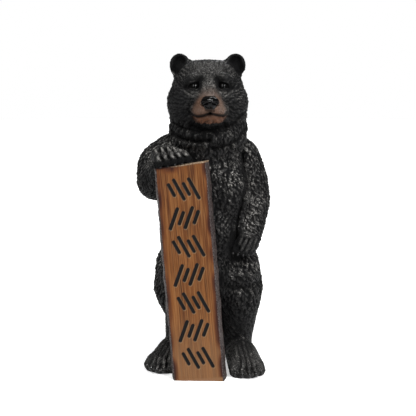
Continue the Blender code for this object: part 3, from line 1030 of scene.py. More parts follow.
    def close(
        self, outline: list[tuple[float, float]], plank: np.ndarray
    ) -> tuple[list[list[float]], list[tuple[int, ...]]]:
        """Join the rows of the walls, and close both ends with rings that shrink to the middle.

        Args:
            outline: The board in plan.
            plank: The points of the walls.

        Returns:
            All points and faces.
        """
        count = len(outline)
        verts = plank.tolist()
        faces = []
        for low in range(0, self.rows * count, count):
            for index in range(count):
                after = (index + 1) % count
                faces.append((low + index, low + after, low + count + after, low + count + index))
        middle_x = self.width / 2.0 - self.thickness / 2.0
        for at_top, first in ((False, 0), (True, self.rows * count)):
            ring = list(range(first, first + count))
            for step in range(1, self.end_rings + 1):
                part = step / self.end_rings
                inner = []
                for x, y in outline:
                    middle = (min(max(x, -middle_x), middle_x), self.thickness / 2.0)
                    at = (x + (middle[0] - x) * part, y + (middle[1] - y) * part)
                    inner.append(len(verts))
                    verts.append([*at, self.top(at[0]) if at_top else self.foot(*at)])
                for index in range(count):
                    after = (index + 1) % count
                    face = (ring[index], ring[after], inner[after], inner[index])
                    faces.append(face if at_top else tuple(reversed(face)))
                ring = inner
        return verts, faces

    def stroke_highlight_field(self, plank: np.ndarray, front: np.ndarray) -> np.ndarray:
        """Give the painted highlight along the lower right rim of each stroke, as a distance inside it."""
        moved = self.stroke_field(plank[:, 0] - self.stroke_highlight_offset, plank[:, 2] + self.stroke_highlight_offset)
        return np.where(front, moved, -1.0)

    def edge_field(self, plank: np.ndarray) -> np.ndarray:
        """Give the scorch towards the front's edges, and the paw's painted shadow towards its top on the
        left.

        Args:
            plank: The points of the walls, in the board's own frame.

        Returns:
            The scorch and the painted shadow at each point, between 0 and 1.
        """
        side = smooth(1.0 - (self.width / 2.0 - np.abs(plank[:, 0])) / self.scorch)
        # The paw's painted shadow, below the top end on the left.
        below_top = (self.length - 0.004 - plank[:, 2]) / self.paw_shadow_reach
        top = 0.8 * smooth(1.0 - below_top) * smooth(-plank[:, 0] / 0.02 + 0.5)
        broken = 0.62 + 0.5 * lumps(plank * (1.0, 0.0, 0.3), 0.008, 8)
        return np.clip(np.maximum(side, top) * broken, 0.0, 1.0)

    def dress(self, item: bpy.types.Object) -> None:
        """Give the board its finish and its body."""
        item.data.materials.append(StainedWood().material())
        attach(item, BODY)
        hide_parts("sign_board")


class Part:
    """A part of the figure. It lays its masses in three passes, and then carves the skin."""

    def pile(self, clay: Clay) -> None:
        """Lay the large masses."""

    def shape(self, clay: Clay) -> None:
        """Lay the middle-sized forms."""

    def detail(self, clay: Clay) -> None:
        """Lay the small forms."""

    def carve(self, skin: Skin) -> None:
        """Cut and mark the skin."""


@dataclass
class Trunk(Part):
    """Hips, belly, chest, hump, neck and tail, with the folds between them."""

    core: tuple[Station, ...] = (
        ((0.0, 2.4, 66.0), 12.2),
        ((1.0, 1.0, 52.0), 13.4),
        ((1.0, 1.2, 40.0), 13.6),
        ((0.4, 1.4, 30.0), 12.6),
    )
    hips: Mass = ((0.4, 0.6, 30.6), (15.4, 13.0, 12.6))
    belly: Mass = ((1.2, -0.3, 44.5), (15.4, 13.2, 15.5))
    ribs: Mass = ((0.2, 0.4, 58.0), (14.9, 12.6, 14.5))
    hump: Mass = ((0.0, 3.4, 66.5), (12.8, 10.4, 9.0))
    breast: Mass = ((6.8, -5.4, 56.0), (6.6, 7.6, 12.0))
    tail: Mass = ((0.0, 12.8, 28.5), (2.6, 3.4, 2.4))
    neck: tuple[Station, ...] = (((0.0, 1.0, 86.0), 10.6), ((0.0, 1.5, 70.0), 12.6))
    ruff: Mass = ((0.35, 0.0, 76.6), (12.5, 11.6, 5.3))
    collar: Mass = ((0.4, -3.2, 73.6), (11.6, 9.6, 4.6))
    fold: Line = ((-12.4, 76.4), (-10.3, 74.5), (-7.2, 73.5), (-3.5, 73.0), (0.5, 73.3))
    band: Line = ((-11.6, 77.6), (-9.1, 76.2), (-5.3, 75.0), (-1.1, 74.6))
    under: Line = ((-10.4, 78.6), (-7.4, 77.0), (-4.0, 75.9), (-0.6, 75.6))
    thin: Line = ((-7.9, 78.9), (-5.0, 77.0), (-2.3, 76.4))
    sweep: Line = ((10.6, 81.0), (7.6, 78.0), (4.6, 75.8), (2.4, 74.8))
    low_sweep: Line = ((12.8, 77.4), (9.6, 73.8), (6.3, 71.9), (1.8, 71.0))
    throat: Line = ((-4.8, 77.6), (0.6, 76.4), (5.4, 77.6))
    crease: Line = (
        (11.0, 68.6), (11.2, 64.0), (12.0, 58.6), (10.6, 54.0), (9.4, 49.6), (9.0, 45.0), (8.8, 40.6)
    )
    knee: Line = ((6.4, 26.6), (8.6, 25.3), (10.6, 26.0), (12.6, 25.4), (14.4, 26.6), (16.6, 26.2))
    elbow: Line = ((-9.6, -9.0, 62.0), (-10.6, -6.6, 54.0))
    hip: Line = ((12.0, -9.6, 36.4), (15.6, -5.0, 36.0), (17.0, 0.0, 36.6))
    spine: Line = ((0.0, 15.0, 70.0), (0.0, 14.6, 52.0), (0.0, 14.0, 36.0))
    beside_paw: Line = ((9.0, 43.6), (8.4, 40.4), (9.2, 36.6))
    between_legs: Line = ((3.0, 30.0), (2.4, 20.0), (3.6, 10.0))

    def pile(self, clay: Clay) -> None:
        """Lay the trunk's masses.

        Args:
            clay: Where the masses are laid.
        """
        clay.limb(*self.core)
        for mass in (self.hips, self.belly, self.ribs, self.hump, self.breast, self.tail):
            clay.ball(*mass)
        clay.limb(*self.neck)
        for mass in (self.ruff, self.collar):
            clay.ball(*mass)

    def carve(self, skin: Skin) -> None:
        """Cut the folds of the ruff and the creases round the arms and knees, and paint shade into them,
        beside the hanging paw and between the legs.

        Args:
            skin: The figure's skin.
        """
        for line, width, depth in (
            (self.fold, 1.5, 1.9),
            (self.band, 1.2, -0.6),
            (self.under, 0.8, 0.8),
            (self.thin, 0.8, -0.5),
            (self.sweep, 1.1, 0.9),
            (self.low_sweep, 1.5, 1.3),
            (self.throat, 1.7, 1.5),
            (self.crease, 1.4, 1.7),
            (self.knee, 2.2, 0.8),
        ):
            skin.gouge(line, width, depth, INWARDS)
        for line, width, depth in ((self.elbow, 1.6, 1.2), (self.hip, 1.5, 1.1), (self.spine, 2.6, 0.7)):
            skin.gouge(line, width, depth)
        # Painted shade in the folds and creases, under the chin, beside the hanging paw and between the legs.
        for line, width, amount in (
            (self.fold, 1.7, 0.95),
            (self.under, 0.9, 0.8),
            (self.sweep, 1.1, 0.8),
            (self.low_sweep, 1.3, 0.8),
            (self.throat, 2.2, 0.98),
            (self.crease, 1.5, 0.9),
            (self.knee, 2.0, 0.5),
            (self.hip, 1.4, 0.9),
            (self.elbow, 2.6, 0.9),
            (self.beside_paw, 3.3, 0.98),
            (self.between_legs, 3.4, 0.75),
        ):
            skin.tint(Mark.SHADE, line, width, amount, 0.8)


@dataclass
class Head(Part):
    """Skull, cheeks, muzzle, nose, brows, eyes and ears."""

    middle: float = 0.4
    eye_spread: float = 4.4
    eye_height: float = 89.7
    lid_depth: float = -9.9
    eye_depth: float = -9.45
    eye_radius: float = 1.75
    eye_drop: float = 0.45
    ear_spread: float = 8.7
    ear_height: float = 96.1
    nose: Point = (0.7, -17.8, 85.0)
    muzzle_middle: float = 0.5
    skull: Mass = ((0.0, 0.0, 88.6), (11.4, 11.2, 9.4))
    temple: Mass = ((3.4, -0.4, 89.2), (6.8, 10.0, 8.6))
    cheek: Mass = ((6.4, -2.6, 84.6), (6.3, 8.2, 7.0))
    jowl: Mass = ((6.2, -3.6, 80.8), (5.9, 6.6, 4.8))
    jowl_shift: float = 0.2
    muzzle_heights: tuple[float, ...] = (78.4, 79.0, 79.8, 81.1, 82.7, 84.9, 87.0, 89.8)
    muzzle_halves: tuple[float, ...] = (-3.0, 4.2, 5.4, 6.1, 5.9, 5.0, 3.9, 2.8)
    nose_heights: tuple[float, ...] = (-2.0, -1.2, -0.2, 0.8, 1.5, 2.0)
    nose_halves: tuple[float, ...] = (1.3, 2.1, 2.95, 2.8, 2.2, 1.3)

    def pile(self, clay: Clay) -> None:
        """Lay the skull and the cheeks.

        Args:
            clay: Where the masses are laid.
        """
        clay.ball(*self.skull)
        masses = ((self.temple, 0.0), (self.cheek, 0.0), (self.jowl, self.jowl_shift))
        for side in (-1.0, 1.0):
            for ((x, y, z), radii), shift in masses:
                clay.ball((side * x + shift, y, z), radii)

    def eye(self, side: float) -> Point:
        """Give the middle of an eyeball."""
        return (side * self.eye_spread + self.middle, self.eye_depth, self.eye_height - self.eye_drop)

    def lid(self, side: float) -> Point:
        """Give the middle of the lids round an eye."""
        return (side * self.eye_spread + self.middle, self.lid_depth, self.eye_height)

    def shape(self, clay: Clay) -> None:
        """Lay the muzzle, chin, brows and the soft pads under the eyes.

        Args:
            clay: Where the masses are laid.
        """
        clay.ball((0.4, -10.0, 84.0), (5.9, 6.4, 4.9))
        clay.ball((0.5, -14.0, 83.6), (4.8, 4.5, 3.9))
        clay.ball((0.2, -5.4, 91.2), (7.4, 5.7, 4.6))
        clay.limb(((0.1, -6.8, 91.2), 3.9), ((0.4, -11.6, 88.2), 3.0), ((0.6, -15.3, 85.6), 2.5))
        clay.limb(((0.2, -9.0, 80.6), 3.9), ((0.6, -13.2, 80.7), 2.6))
        clay.ball((0.7, -11.4, 80.4), (4.8, 4.2, 2.4))
        for side in (-1.0, 1.0):
            x = side * self.eye_spread + self.middle
            clay.ball((x, -9.0, 92.2), (3.2, 1.9, 1.5), (0.0, side * 12.0, 0.0))
            clay.ball((x, -8.7, 87.8), (3.2, 2.4, 1.7))
            clay.ball((side * 3.0 + self.muzzle_middle, -13.2, 82.6), (2.9, 3.6, 2.4))

    def detail(self, clay: Clay) -> None:
        """Lay the nose, the eyelids and the ears.

        Args:
            clay: Where the masses are laid.
        """
        nose = Vector(self.nose)
        clay.ball(nose + Vector((0.0, -0.2, -0.1)), (2.0, 1.5, 1.8))
        for side in (-1.0, 1.0):
            clay.ball(nose + Vector((side * 1.5, 0.25, 0.05)), (1.35, 1.25, 1.4))
            clay.ball(self.lid(side), (2.15, 1.9, 1.75), (0.0, side * 10.0, 0.0))
            clay.limb(((side * 7.2, 0.6, 92.0), 3.4), ((side * 8.1, 0.6, 95.0), 2.9))
            clay.ball((side * self.ear_spread, 0.2, self.ear_height), (3.3, 1.9, 3.7), (0.0, side * 8.0, 0.0))
            clay.ball((side * 5.95, 0.4, 95.0), (2.6, 2.0, 3.4), (0.0, side * 32.0, 0.0))
            clay.ball((side * 6.9, -1.5, 93.6), (2.4, 1.8, 2.8), (0.0, side * 20.0, 0.0))

    def carve(self, skin: Skin) -> None:
        """Cut the eyes, nose, mouth and ears, and mark their colours, their painted shade and their painted
        highlights.

        Args:
            skin: The figure's skin.
        """
        for side in (-1.0, 1.0):
            self.carve_eye(skin, side)
            self.carve_ear(skin, side)
        self.carve_mouth(skin)
        self.carve_nose(skin)
        self.paint_muzzle(skin)

    def carve_eye(self, skin: Skin, side: float) -> None:
        """Cut one eye: a slanting socket with painted shade up to the brow, with the lid's rim and pad under
        it, which carry a painted highlight.

        Args:
            skin: The figure's skin.
            side: -1 for the viewer's left, 1 for the viewer's right.
        """
        x, _, z = self.lid(side)
        brow_end = ((x - side * 2.2, z + 2.1), (x - side * 1.2, z + 1.1))
        socket = brow_end + ((x + side * 0.5, z), (x + side * 2.5, z - 0.4))
        opening = ((x - side * 0.8, z + 0.35), (x + side * 0.8, z - 0.15))
        skin.gouge(socket, 1.9, 0.6, INWARDS)
        skin.gouge(opening, 1.3, 1.2, INWARDS, 0.5)
        rim = ((x - side * 0.9, z - 1.15), (x + side * 0.4, z - 1.4), (x + side * 2.2, z - 1.2))
        skin.gouge(rim, 0.55, -0.3, INWARDS)
        bag = ((x - side * 1.8, z - 1.8), (x + side * 0.2, z - 2.4), (x + side * 2.8, z - 1.9))
        skin.gouge(bag, 0.7, 0.35, INWARDS)
        # Painted shade in the socket, in the opening and up towards the brow.
        skin.tint(Mark.SHADE, socket, 1.5, 1.0, 0.8)
        skin.tint(Mark.SHADE, opening, 1.7, 1.0, 0.5)
        skin.tint(Mark.SHADE, ((x - side * 2.0, z + 1.9), (x - side * 1.6, z - 0.3)), 1.5, 0.95, 0.8)
        # Painted highlight on the lid's rim and on the pad under it.
        skin.tint(Mark.RIM, ((x - side * 0.9, z - 1.75), (x + side * 0.7, z - 1.85)), 0.5, 0.45, 0.9)
        skin.tint(Mark.RIM, ((x + side * 2.8, z - 1.6), (x + side * 0.4, z - 3.0)), 0.6, 0.25, 1.0)

    def carve_ear(self, skin: Skin, side: float) -> None:
        """Hollow one ear under its thin outer rim, with painted shade in the hollow, pale fur running up into
        it from the brow and a painted highlight along the rim.

        Args:
            skin: The figure's skin.
            side: -1 for the viewer's left, 1 for the viewer's right.
        """
        cup = ((side * (self.ear_spread + 0.1), -1.7, 97.4), (side * (self.ear_spread + 0.8), -1.6, 94.9))
        # Painted shade in the ear's hollow.
        skin.tint(Mark.SHADE, cup, 2.5, 1.0, 0.5)
        skin.gouge(cup, 2.6, 2.0, INWARDS, 0.6)
        for low, high in (((5.9, 95.3), (7.3, 96.3)), ((6.3, 94.1), (7.7, 95.0)), ((7.0, 92.9), (8.1, 93.8))):
            skin.tint(Mark.RIM, ((side * low[0], low[1]), (side * high[0], high[1])), 0.42, 0.2, 1.0)
        # Painted highlight along the ear's outer rim.
        outer = self.ear_spread + 3.0
        edge = ((0.0, 94.4), (0.0, 96.8), (1.2, 98.8), (3.0, 99.6))
        rim = [(side * (outer - inset), height) for inset, height in edge]
        skin.tint(Mark.RIM, rim, 0.7, 0.1, 1.0)

    def carve_nose(self, skin: Skin) -> None:
        """Cut the nostrils, the notch of the nose and the groove under it, paint shade in the groove and
        under the nose, and mark the gloss.

        Args:
            skin: The figure's skin.
        """
        x, _, z = self.nose
        for side in (-1.0, 1.0):
            nostril = ((x + side * 1.1, z - 0.1), (x + side * 1.9, z - 0.25), (x + side * 2.3, z - 0.75))
            skin.gouge(nostril, 0.6, 0.9, INWARDS, 0.7)
        skin.gouge(((x, z + 1.2), (x, z - 1.2)), 0.4, 0.22, INWARDS)
        groove = ((x, z - 1.6), (x, z - 3.2))
        skin.gouge(groove, 0.7, 0.35, INWARDS)
        # Painted shade in the groove and in a band under the nose.
        skin.tint(Mark.SHADE, groove, 1.9, 0.8, 1.0)
        skin.tint(Mark.SHADE, ((x - 1.0, z - 2.1), (x + 1.1, z - 2.3)), 1.0, 0.75, 0.9)
        away = skin.points / HUNDREDTH - np.array(self.nose)
        half = np.interp(away[:, 2], self.nose_heights, self.nose_halves)
        reach = 1.0 - np.abs(away[:, 0]) / half
        level = 1.0 - np.abs(away[:, 2]) / 2.1
        front = (1.3 - away[:, 1]) / 2.4
        skin.add(Mark.GLOSS, smooth(np.minimum(np.minimum(reach, level), front) * 7.0))

    def carve_mouth(self, skin: Skin) -> None:
        """Cut the seam of the lips, lower at its left, with a turned-up right corner, and paint shade along
        it.

        Args:
            skin: The figure's skin.
        """
        left = ((-5.3, 82.2), (-4.5, 81.3), (-3.1, 80.85), (-1.6, 80.95), (-0.3, 81.5), (0.7, 81.85))
        right = ((0.7, 81.85), (2.0, 81.5), (3.6, 81.1), (4.7, 81.1))
        corner = ((4.6, 80.9), (5.3, 81.3), (5.8, 82.2))
        for seam, depth in ((left, 1.0), (right, 0.8), (corner, 0.7)):
            skin.gouge(seam, 0.75, depth, INWARDS, 0.8)
            # Painted shade along the seam.
            skin.tint(Mark.SHADE, seam, 0.62, 0.95, 0.7)
        # More painted shade along the left of the seam.
        skin.tint(Mark.SHADE, ((-4.6, 81.4), (-3.0, 80.9), (0.7, 81.7)), 0.9, 0.75, 0.9)
        skin.gouge(((-2.6, 79.9), (0.5, 80.1), (3.4, 79.9)), 0.9, -0.25, INWARDS)

    def paint_muzzle(self, skin: Skin) -> None:
        """Mark the brown of the muzzle, narrow at the bridge and wide at the lips, with a painted highlight
        on its right and top and painted shade on its left.

        Args:
            skin: The figure's skin.
        """
        x, y, z = (skin.points / HUNDREDTH).T
        half = np.interp(z, self.muzzle_heights, self.muzzle_halves)
        value = smooth((half - np.abs(x - self.muzzle_middle)) / 1.9) * smooth((-y - 8.4) / 2.4)
        top = 1.0 - smooth((z - 84.6) / 6.2)
        cloud = 0.85 + 0.15 * lumps(skin.points, 0.006, 31)
        skin.add(Mark.TAN, value * top * cloud)
        skin.marks[Mark.RUST] = smooth((82.4 - z) / 2.4) * (0.7 + 0.3 * lumps(skin.points, 0.005, 32))
        # Painted highlight on the right of the muzzle and on its top.
        skin.tint(Mark.RIM, ((3.4, 84.6), (5.2, 82.6)), 2.4, 0.13, 1.0)
        skin.tint(Mark.RIM, ((-1.6, 87.5), (0.6, 87.1), (2.8, 87.5)), 1.9, 0.13, 1.0)
        # Painted shade over the left of the muzzle.
        left = smooth((x + 5.6) / 3.4)
        skin.add(Mark.SHADE, 0.55 * (1.0 - left) * skin.marks[Mark.TAN])


def carve_between(skin: Skin, fingers: list[tuple[Vector, Vector]], out: Vector, worn: float) -> None:
    """Cut a groove with painted shade between each two neighbouring fingers, and paint a highlight along each
    finger's ridge.

    Args:
        skin: The figure's skin.
        fingers: Where each finger starts and ends.
        out: From a finger's middle to its surface.
        worn: How strong the painted highlight is along the fingers' ridges.
    """
    for (root, tip), (next_root, next_tip) in zip(fingers, fingers[1:]):
        groove = (root.lerp(next_root, 0.5) + out, tip.lerp(next_tip, 0.5) + out)
        # Painted shade in the groove.
        skin.tint(Mark.SHADE, groove, 0.8, 0.98, 0.9)
        skin.gouge(groove, 0.8, 0.85)
    for root, tip in fingers:
        ridge = (root + out * 1.15, root.lerp(tip, 0.8) + out * 1.3)
        # Painted highlight along the finger's ridge.
        skin.tint(Mark.RIM, ridge, 0.55, worn, 1.0)


@dataclass
class HangingArm(Part):
    """The arm at the viewer's right, which hangs with its paw against the hip."""

    arm: tuple[Station, ...] = (
        ((10.0, 1.4, 66.4), 6.8),
        ((13.6, 0.0, 60.0), 5.6),
        ((15.0, -1.2, 53.6), 5.1),
        ((13.9, -4.6, 47.0), 4.5),
        ((13.0, -7.8, 42.8), 3.7),
    )
    paw: Mass = ((12.6, -9.6, 41.0), (3.7, 3.0, 3.7))
    paw_turn: Point = (0.0, 30.0, 0.0)
    root_x: tuple[float, ...] = (15.2, 13.7, 12.2, 10.7)
    root_y: tuple[float, ...] = (-10.6, -11.9, -12.6, -12.4)
    tip_x: tuple[float, ...] = (13.6, 11.8, 10.1, 8.6)
    claws: list[tuple[Vector, Vector, float]] = field(default_factory=list)

    def pile(self, clay: Clay) -> None:
        """Lay the arm."""
        clay.limb(*self.arm)

    def shape(self, clay: Clay) -> None:
        """Lay the paw."""
        clay.ball(*self.paw, self.paw_turn)

    def detail(self, clay: Clay) -> None:
        """Lay the fingers, and keep where their claws grow.

        Args:
            clay: Where the masses are laid.
        """
        for root, tip in self.fingers():
            clay.limb((root, 1.15), (root.lerp(tip, 0.55) + Vector((0.0, -0.4, 0.0)), 1.15), (tip, 0.95))
            self.claws.append((tip + Vector((-0.1, -0.3, -0.2)), tip + Vector((-0.8, -0.3, -1.4)), 0.5))

    def fingers(self) -> list[tuple[Vector, Vector]]:
        """Give where each finger starts and ends.

        Returns:
            Each finger's root and tip.
        """
        places = []
        for index, (root_x, root_y, tip_x) in enumerate(zip(self.root_x, self.root_y, self.tip_x)):
            root = Vector((root_x, root_y, 42.4 + 0.2 * index))
            places.append((root, Vector((tip_x, root_y - 0.9, 38.3 + 0.35 * index))))
        return places

    def carve(self, skin: Skin) -> None:
        """Cut the grooves between the fingers, with painted shade in them and painted highlight on the
        ridges.
        """
        carve_between(skin, self.fingers(), Vector((0.0, -1.0, 0.0)), 0.16)


@dataclass
class PawArm(Part):
    """The arm at the viewer's left, bent so that its paw lies on the board's top end."""

    board: Board
    place_across: float = -0.22
    seat_depth: float = 0.45
    heel_height: float = 0.021
    upper_arm: tuple[Station, ...] = (
        ((-11.2, 1.0, 66.2), 8.0),
        ((-15.0, -0.2, 64.1), 7.4),
        ((-16.3, -2.4, 59.9), 6.25),
        ((-15.4, -5.6, 61.0), 4.9),
    )
    under_fingers: Line = ((-15.2, 66.5), (-9.8, 67.5), (-4.6, 68.6))
    claws: list[tuple[Vector, Vector, float]] = field(default_factory=list)

    def palm(self) -> tuple[Vector, Vector]:
        """Give the middle of the seat and the middle of the paw."""
        seat = self.board.seat(self.board.width * self.place_across, self.board.thickness * self.seat_depth)
        return seat, seat + Vector((0.0, 0.8, self.heel_height / HUNDREDTH - 0.6))

    def pile(self, clay: Clay) -> None:
        """Lay the arm.

        Args:
            clay: Where the masses are laid.
        """
        _, palm = self.palm()
        wrist = (palm + Vector((-2.6, 4.2, -3.4)), 4.0)
        clay.limb(*self.upper_arm, wrist, (palm + Vector((-0.6, 1.6, -0.8)), 3.5))

    def shape(self, clay: Clay) -> None:
        """Lay the paw."""
        _, palm = self.palm()
        clay.ball(palm + Vector((-0.2, 1.2, 0.0)), (5.4, 3.8, 3.1), (18.0, 9.0, 0.0))

    def detail(self, clay: Clay) -> None:
        """Lay the fingers, and keep where their claws grow.

        Args:
            clay: Where the masses are laid.
        """
        seat, _ = self.palm()
        for root, tip in self.fingers():
            knuckle = root.lerp(tip, 0.5) + Vector((-0.1, -0.4, 0.5))
            clay.limb((root, 1.1), (knuckle, 1.2), (tip, 1.05))
            self.claws.append((tip + Vector((0.1, 0.0, -0.2)), tip + Vector((0.35, -0.35, -1.35)), 0.62))
        clay.ball(seat + Vector((0.3, self.edge() * 0.35, 0.8)), (5.2, 1.6, 1.5), (0.0, -6.0, 0.0))

    def edge(self) -> float:
        """Give how far the board's front edge lies from the seat."""
        return -self.seat_depth * self.board.thickness / HUNDREDTH

    def fingers(self) -> list[tuple[Vector, Vector]]:
        """Give where each finger starts and ends: slanting down to the right over the board's edge.

        Returns:
            Each finger's root and tip.
        """
        seat, palm = self.palm()
        places = []
        for index in range(5):
            spread = index - 2.0
            root = palm + Vector((1.8 * spread - 0.6, self.edge() * 0.45, 2.3 - 0.2 * spread * spread))
            tip = seat + Vector((2.15 * spread + 1.3, self.edge() + 0.1, 1.75 + 0.4 * spread))
            places.append((root, tip))
        return places

    def carve(self, skin: Skin) -> None:
        """Cut the grooves between the fingers, with painted shade in them and painted highlight on the
        ridges, and paint the shadow under the fingertips.
        """
        carve_between(skin, self.fingers(), Vector((0.0, -0.75, 0.75)), 0.85)
        # Painted shadow under the fingertips, along the board's edge.
        skin.tint(Mark.SHADE, self.under_fingers, 1.5, 0.97, 0.6)


@dataclass
class Leg(Part):
    """One thick leg with its foot, toes and claws."""

    side: float
    knee_x: float
    shin_x: float
    ankle_x: float
    heel: tuple[float, float]
    heading: float
    toe_pitch: float = 2.1
    toe_reach: float = 20.3
    toe_arc: float = 0.5
    claws: list[tuple[Vector, Vector, float]] = field(default_factory=list)

    def at(self, across: float, ahead: float, height: float) -> Vector:
        """Give a place in the foot's own frame."""
        turned = Matrix.Rotation(math.radians(self.heading), 3, "Z")
        return Vector((*self.heel, 0.0)) + turned @ Vector((across, -ahead, height))

    def pile(self, clay: Clay) -> None:
        """Lay the thigh, shin and foot.

        Args:
            clay: Where the masses are laid.
        """
        clay.limb(
            ((self.side * 8.2, -0.5, 31.6), 8.6),
            ((self.side * self.knee_x, -2.4, 24.4), 8.0),
            ((self.side * self.shin_x, -1.8, 16.5), 6.6),
            ((self.side * self.ankle_x, -1.0, 8.0), 5.2),
            ((self.side * self.ankle_x, 0.0, 3.2), 5.0),
        )
        clay.ball((self.side * (self.knee_x + 0.6), -5.8, 30.2), (5.6, 5.0, 5.2))
        clay.ball((self.side * self.knee_x, -6.2, 22.8), (5.2, 3.9, 4.0))

    def shape(self, clay: Clay) -> None:
        """Lay the foot.

        Args:
            clay: Where the masses are laid.
        """
        heel, instep, ball = self.at(0.0, 0.6, 3.4), self.at(0.2, 9.0, 3.6), self.at(0.2, 15.6, 2.2)
        clay.limb((heel, 4.4), (instep, 4.6), (ball, 4.2))
        clay.limb((self.at(-1.6, 6.0, 3.0), 3.6), (self.at(-2.4, 15.8, 1.5), 3.2))
        clay.limb((self.at(1.6, 6.0, 3.0), 3.6), (self.at(2.7, 15.2, 1.5), 3.2))

    def detail(self, clay: Clay) -> None:
        """Lay the toes, and keep where their claws grow.

        Args:
            clay: Where the masses are laid.
        """
        for index in range(5):
            spread = index - 2.0
            across = spread * self.toe_pitch
            ahead = self.toe_reach - self.toe_arc * spread * spread
            root = self.at(across * 0.8, ahead - 6.4, 3.3)
            knuckle = self.at(across * 0.95, ahead - 3.2, 2.9)
            tip = self.at(across, ahead - 1.2, 1.7)
            clay.limb((root, 1.4), (knuckle, 1.45), (tip, 1.45))
            nail = self.at(across, ahead - 0.5, 2.0)
            self.claws.append((nail, self.at(across * 1.02, ahead + 0.5, 0.75), 0.7))

    def carve(self, skin: Skin) -> None:
        """Cut the grooves between the toes, which run back to the middle of the foot, with painted shade in
        them.

        Args:
            skin: The figure's skin.
        """
        lines = []
        for index in range(4):
            spread = index - 1.5
            across = spread * self.toe_pitch
            stations = ((0.74, 9.6), (0.78, 12.4), (0.84, 15.2), (0.92, 17.8))
            line = [skin.top(self.at(across * part, ahead, 9.0)) for part, ahead in stations]
            line.append(self.at(across, self.toe_reach - 0.1 - self.toe_arc * spread * spread, 2.2))
            lines.append(line)
        for line in lines:
            # Painted shade in the groove.
            skin.tint(Mark.SHADE, line, 0.95, 0.85, 1.0)
            skin.gouge(line[:3], 1.1, 0.55)
            skin.gouge(line[2:], 1.1, 0.95)


@dataclass
class Coat:
    """Cut tufts of fur of one size, laid like shingles along the way that the fur grows."""

    spacing: float
    length: float
    width: float
    rise: float
    stray: float
    seed: int
    here: Callable[[np.ndarray], np.ndarray]
    # How much shade is painted into the gaps between the tufts.
    gap: float = 0.0
    strand: float = 0.0016
    bare: np.ndarray | float = 0.0
    least: float = 0.02
    longest: float = 1.15

    def lay(self, skin: Skin, growth: np.ndarray) -> None:
        """Raise the tufts, dust their tips and paint shade into the gaps between them.

        Args:
            skin: The figure's skin.
            growth: The way the fur grows at each point.
        """
        tree = KDTree(len(skin.points))
        for index, point in enumerate(skin.points):
            tree.insert(point, index)
        tree.balance()
        rng = random.Random(self.seed)
        wanted = self.here(skin.points / HUNDREDTH) * (1.0 - self.bare)
        order = np.flatnonzero(wanted > self.least).tolist()
        rng.shuffle(order)
        taken = np.zeros(len(skin.points), dtype=bool)
        rise = np.zeros(len(skin.points))
        dust = np.zeros(len(skin.points))
        strand = skin.marks[Mark.STRAND]
        for index in order:
            if taken[index]:
                continue
            found = tree.find_range(Vector(skin.points[index]), self.length * self.longest)
            near = np.fromiter((entry[1] for entry in found), dtype=np.int64)
            offset = skin.points[near] - skin.points[index]
            away = np.sqrt((offset * offset).sum(axis=1))
            taken[near[away < self.spacing * rng.uniform(0.8, 1.15)]] = True
            height, glow, phase = self.tuft(rng, offset, skin.normals[index], growth[index])
            highest = height > rise[near]
            winners = near[highest]
            rise[winners] = height[highest]
            dust[winners] = glow[highest]
            strand[winners] = phase[highest]
        skin.points += skin.normals * (rise * self.rise * wanted)[:, None]
        skin.add(Mark.DUST_AND_HIGHLIGHT, dust * wanted)
        # Painted shade between the tufts.
        skin.add(Mark.SHADE, self.gap * (1.0 - smooth(rise * 2.2)) * wanted)
        skin.write()
        LOG.info("coat %d laid", self.seed)

    def tuft(
        self, rng: random.Random, offset: np.ndarray, normal: np.ndarray, growth: np.ndarray
    ) -> tuple[np.ndarray, np.ndarray, np.ndarray]:
        """Shape one tuft, which climbs from its root and ends abruptly at its tip.

        Args:
            rng: The coat's random numbers.
            offset: From the tuft's root to the points round it.
            normal: The way outwards at the root.
            growth: The way the fur grows there.

        Returns:
            Its height, its dust and the places of its strands, for each of the points.
        """
        along = growth - normal * (growth @ normal)
        along /= max(1e-9, float(np.sqrt(along @ along)))
        across = np.cross(normal, along)
        angle = math.radians(self.stray) * rng.uniform(-1.0, 1.0)
        way = along * math.cos(angle) + across * math.sin(angle)
        side = np.cross(normal, way)
        length = self.length * rng.uniform(0.7, 1.15)
        run = (offset @ way) / length + 0.12
        bow = rng.uniform(-0.3, 0.3) * length * run * run
        beside = offset @ side - bow
        half = self.width * 0.5 * rng.uniform(0.75, 1.2) * np.sqrt(np.clip(1.0 - run * run, 0.0, 1.0))
        width = np.abs(beside) / np.maximum(half, 1e-6)
        body = np.clip(1.0 - width * width, 0.0, 1.0)
        climb = np.clip(run, 0.0, 1.0) * np.clip((1.02 - run) / 0.16, 0.0, 1.0)
        flat = np.abs(offset @ normal) < self.length * 0.5
        height = np.sqrt(body) * climb * flat * rng.uniform(0.65, 1.15)
        glow = body * smooth((climb - 0.35) / 0.45) * rng.uniform(0.25, 1.0) ** 2
        return height, glow, beside / self.strand + rng.uniform(0.0, 50.0)


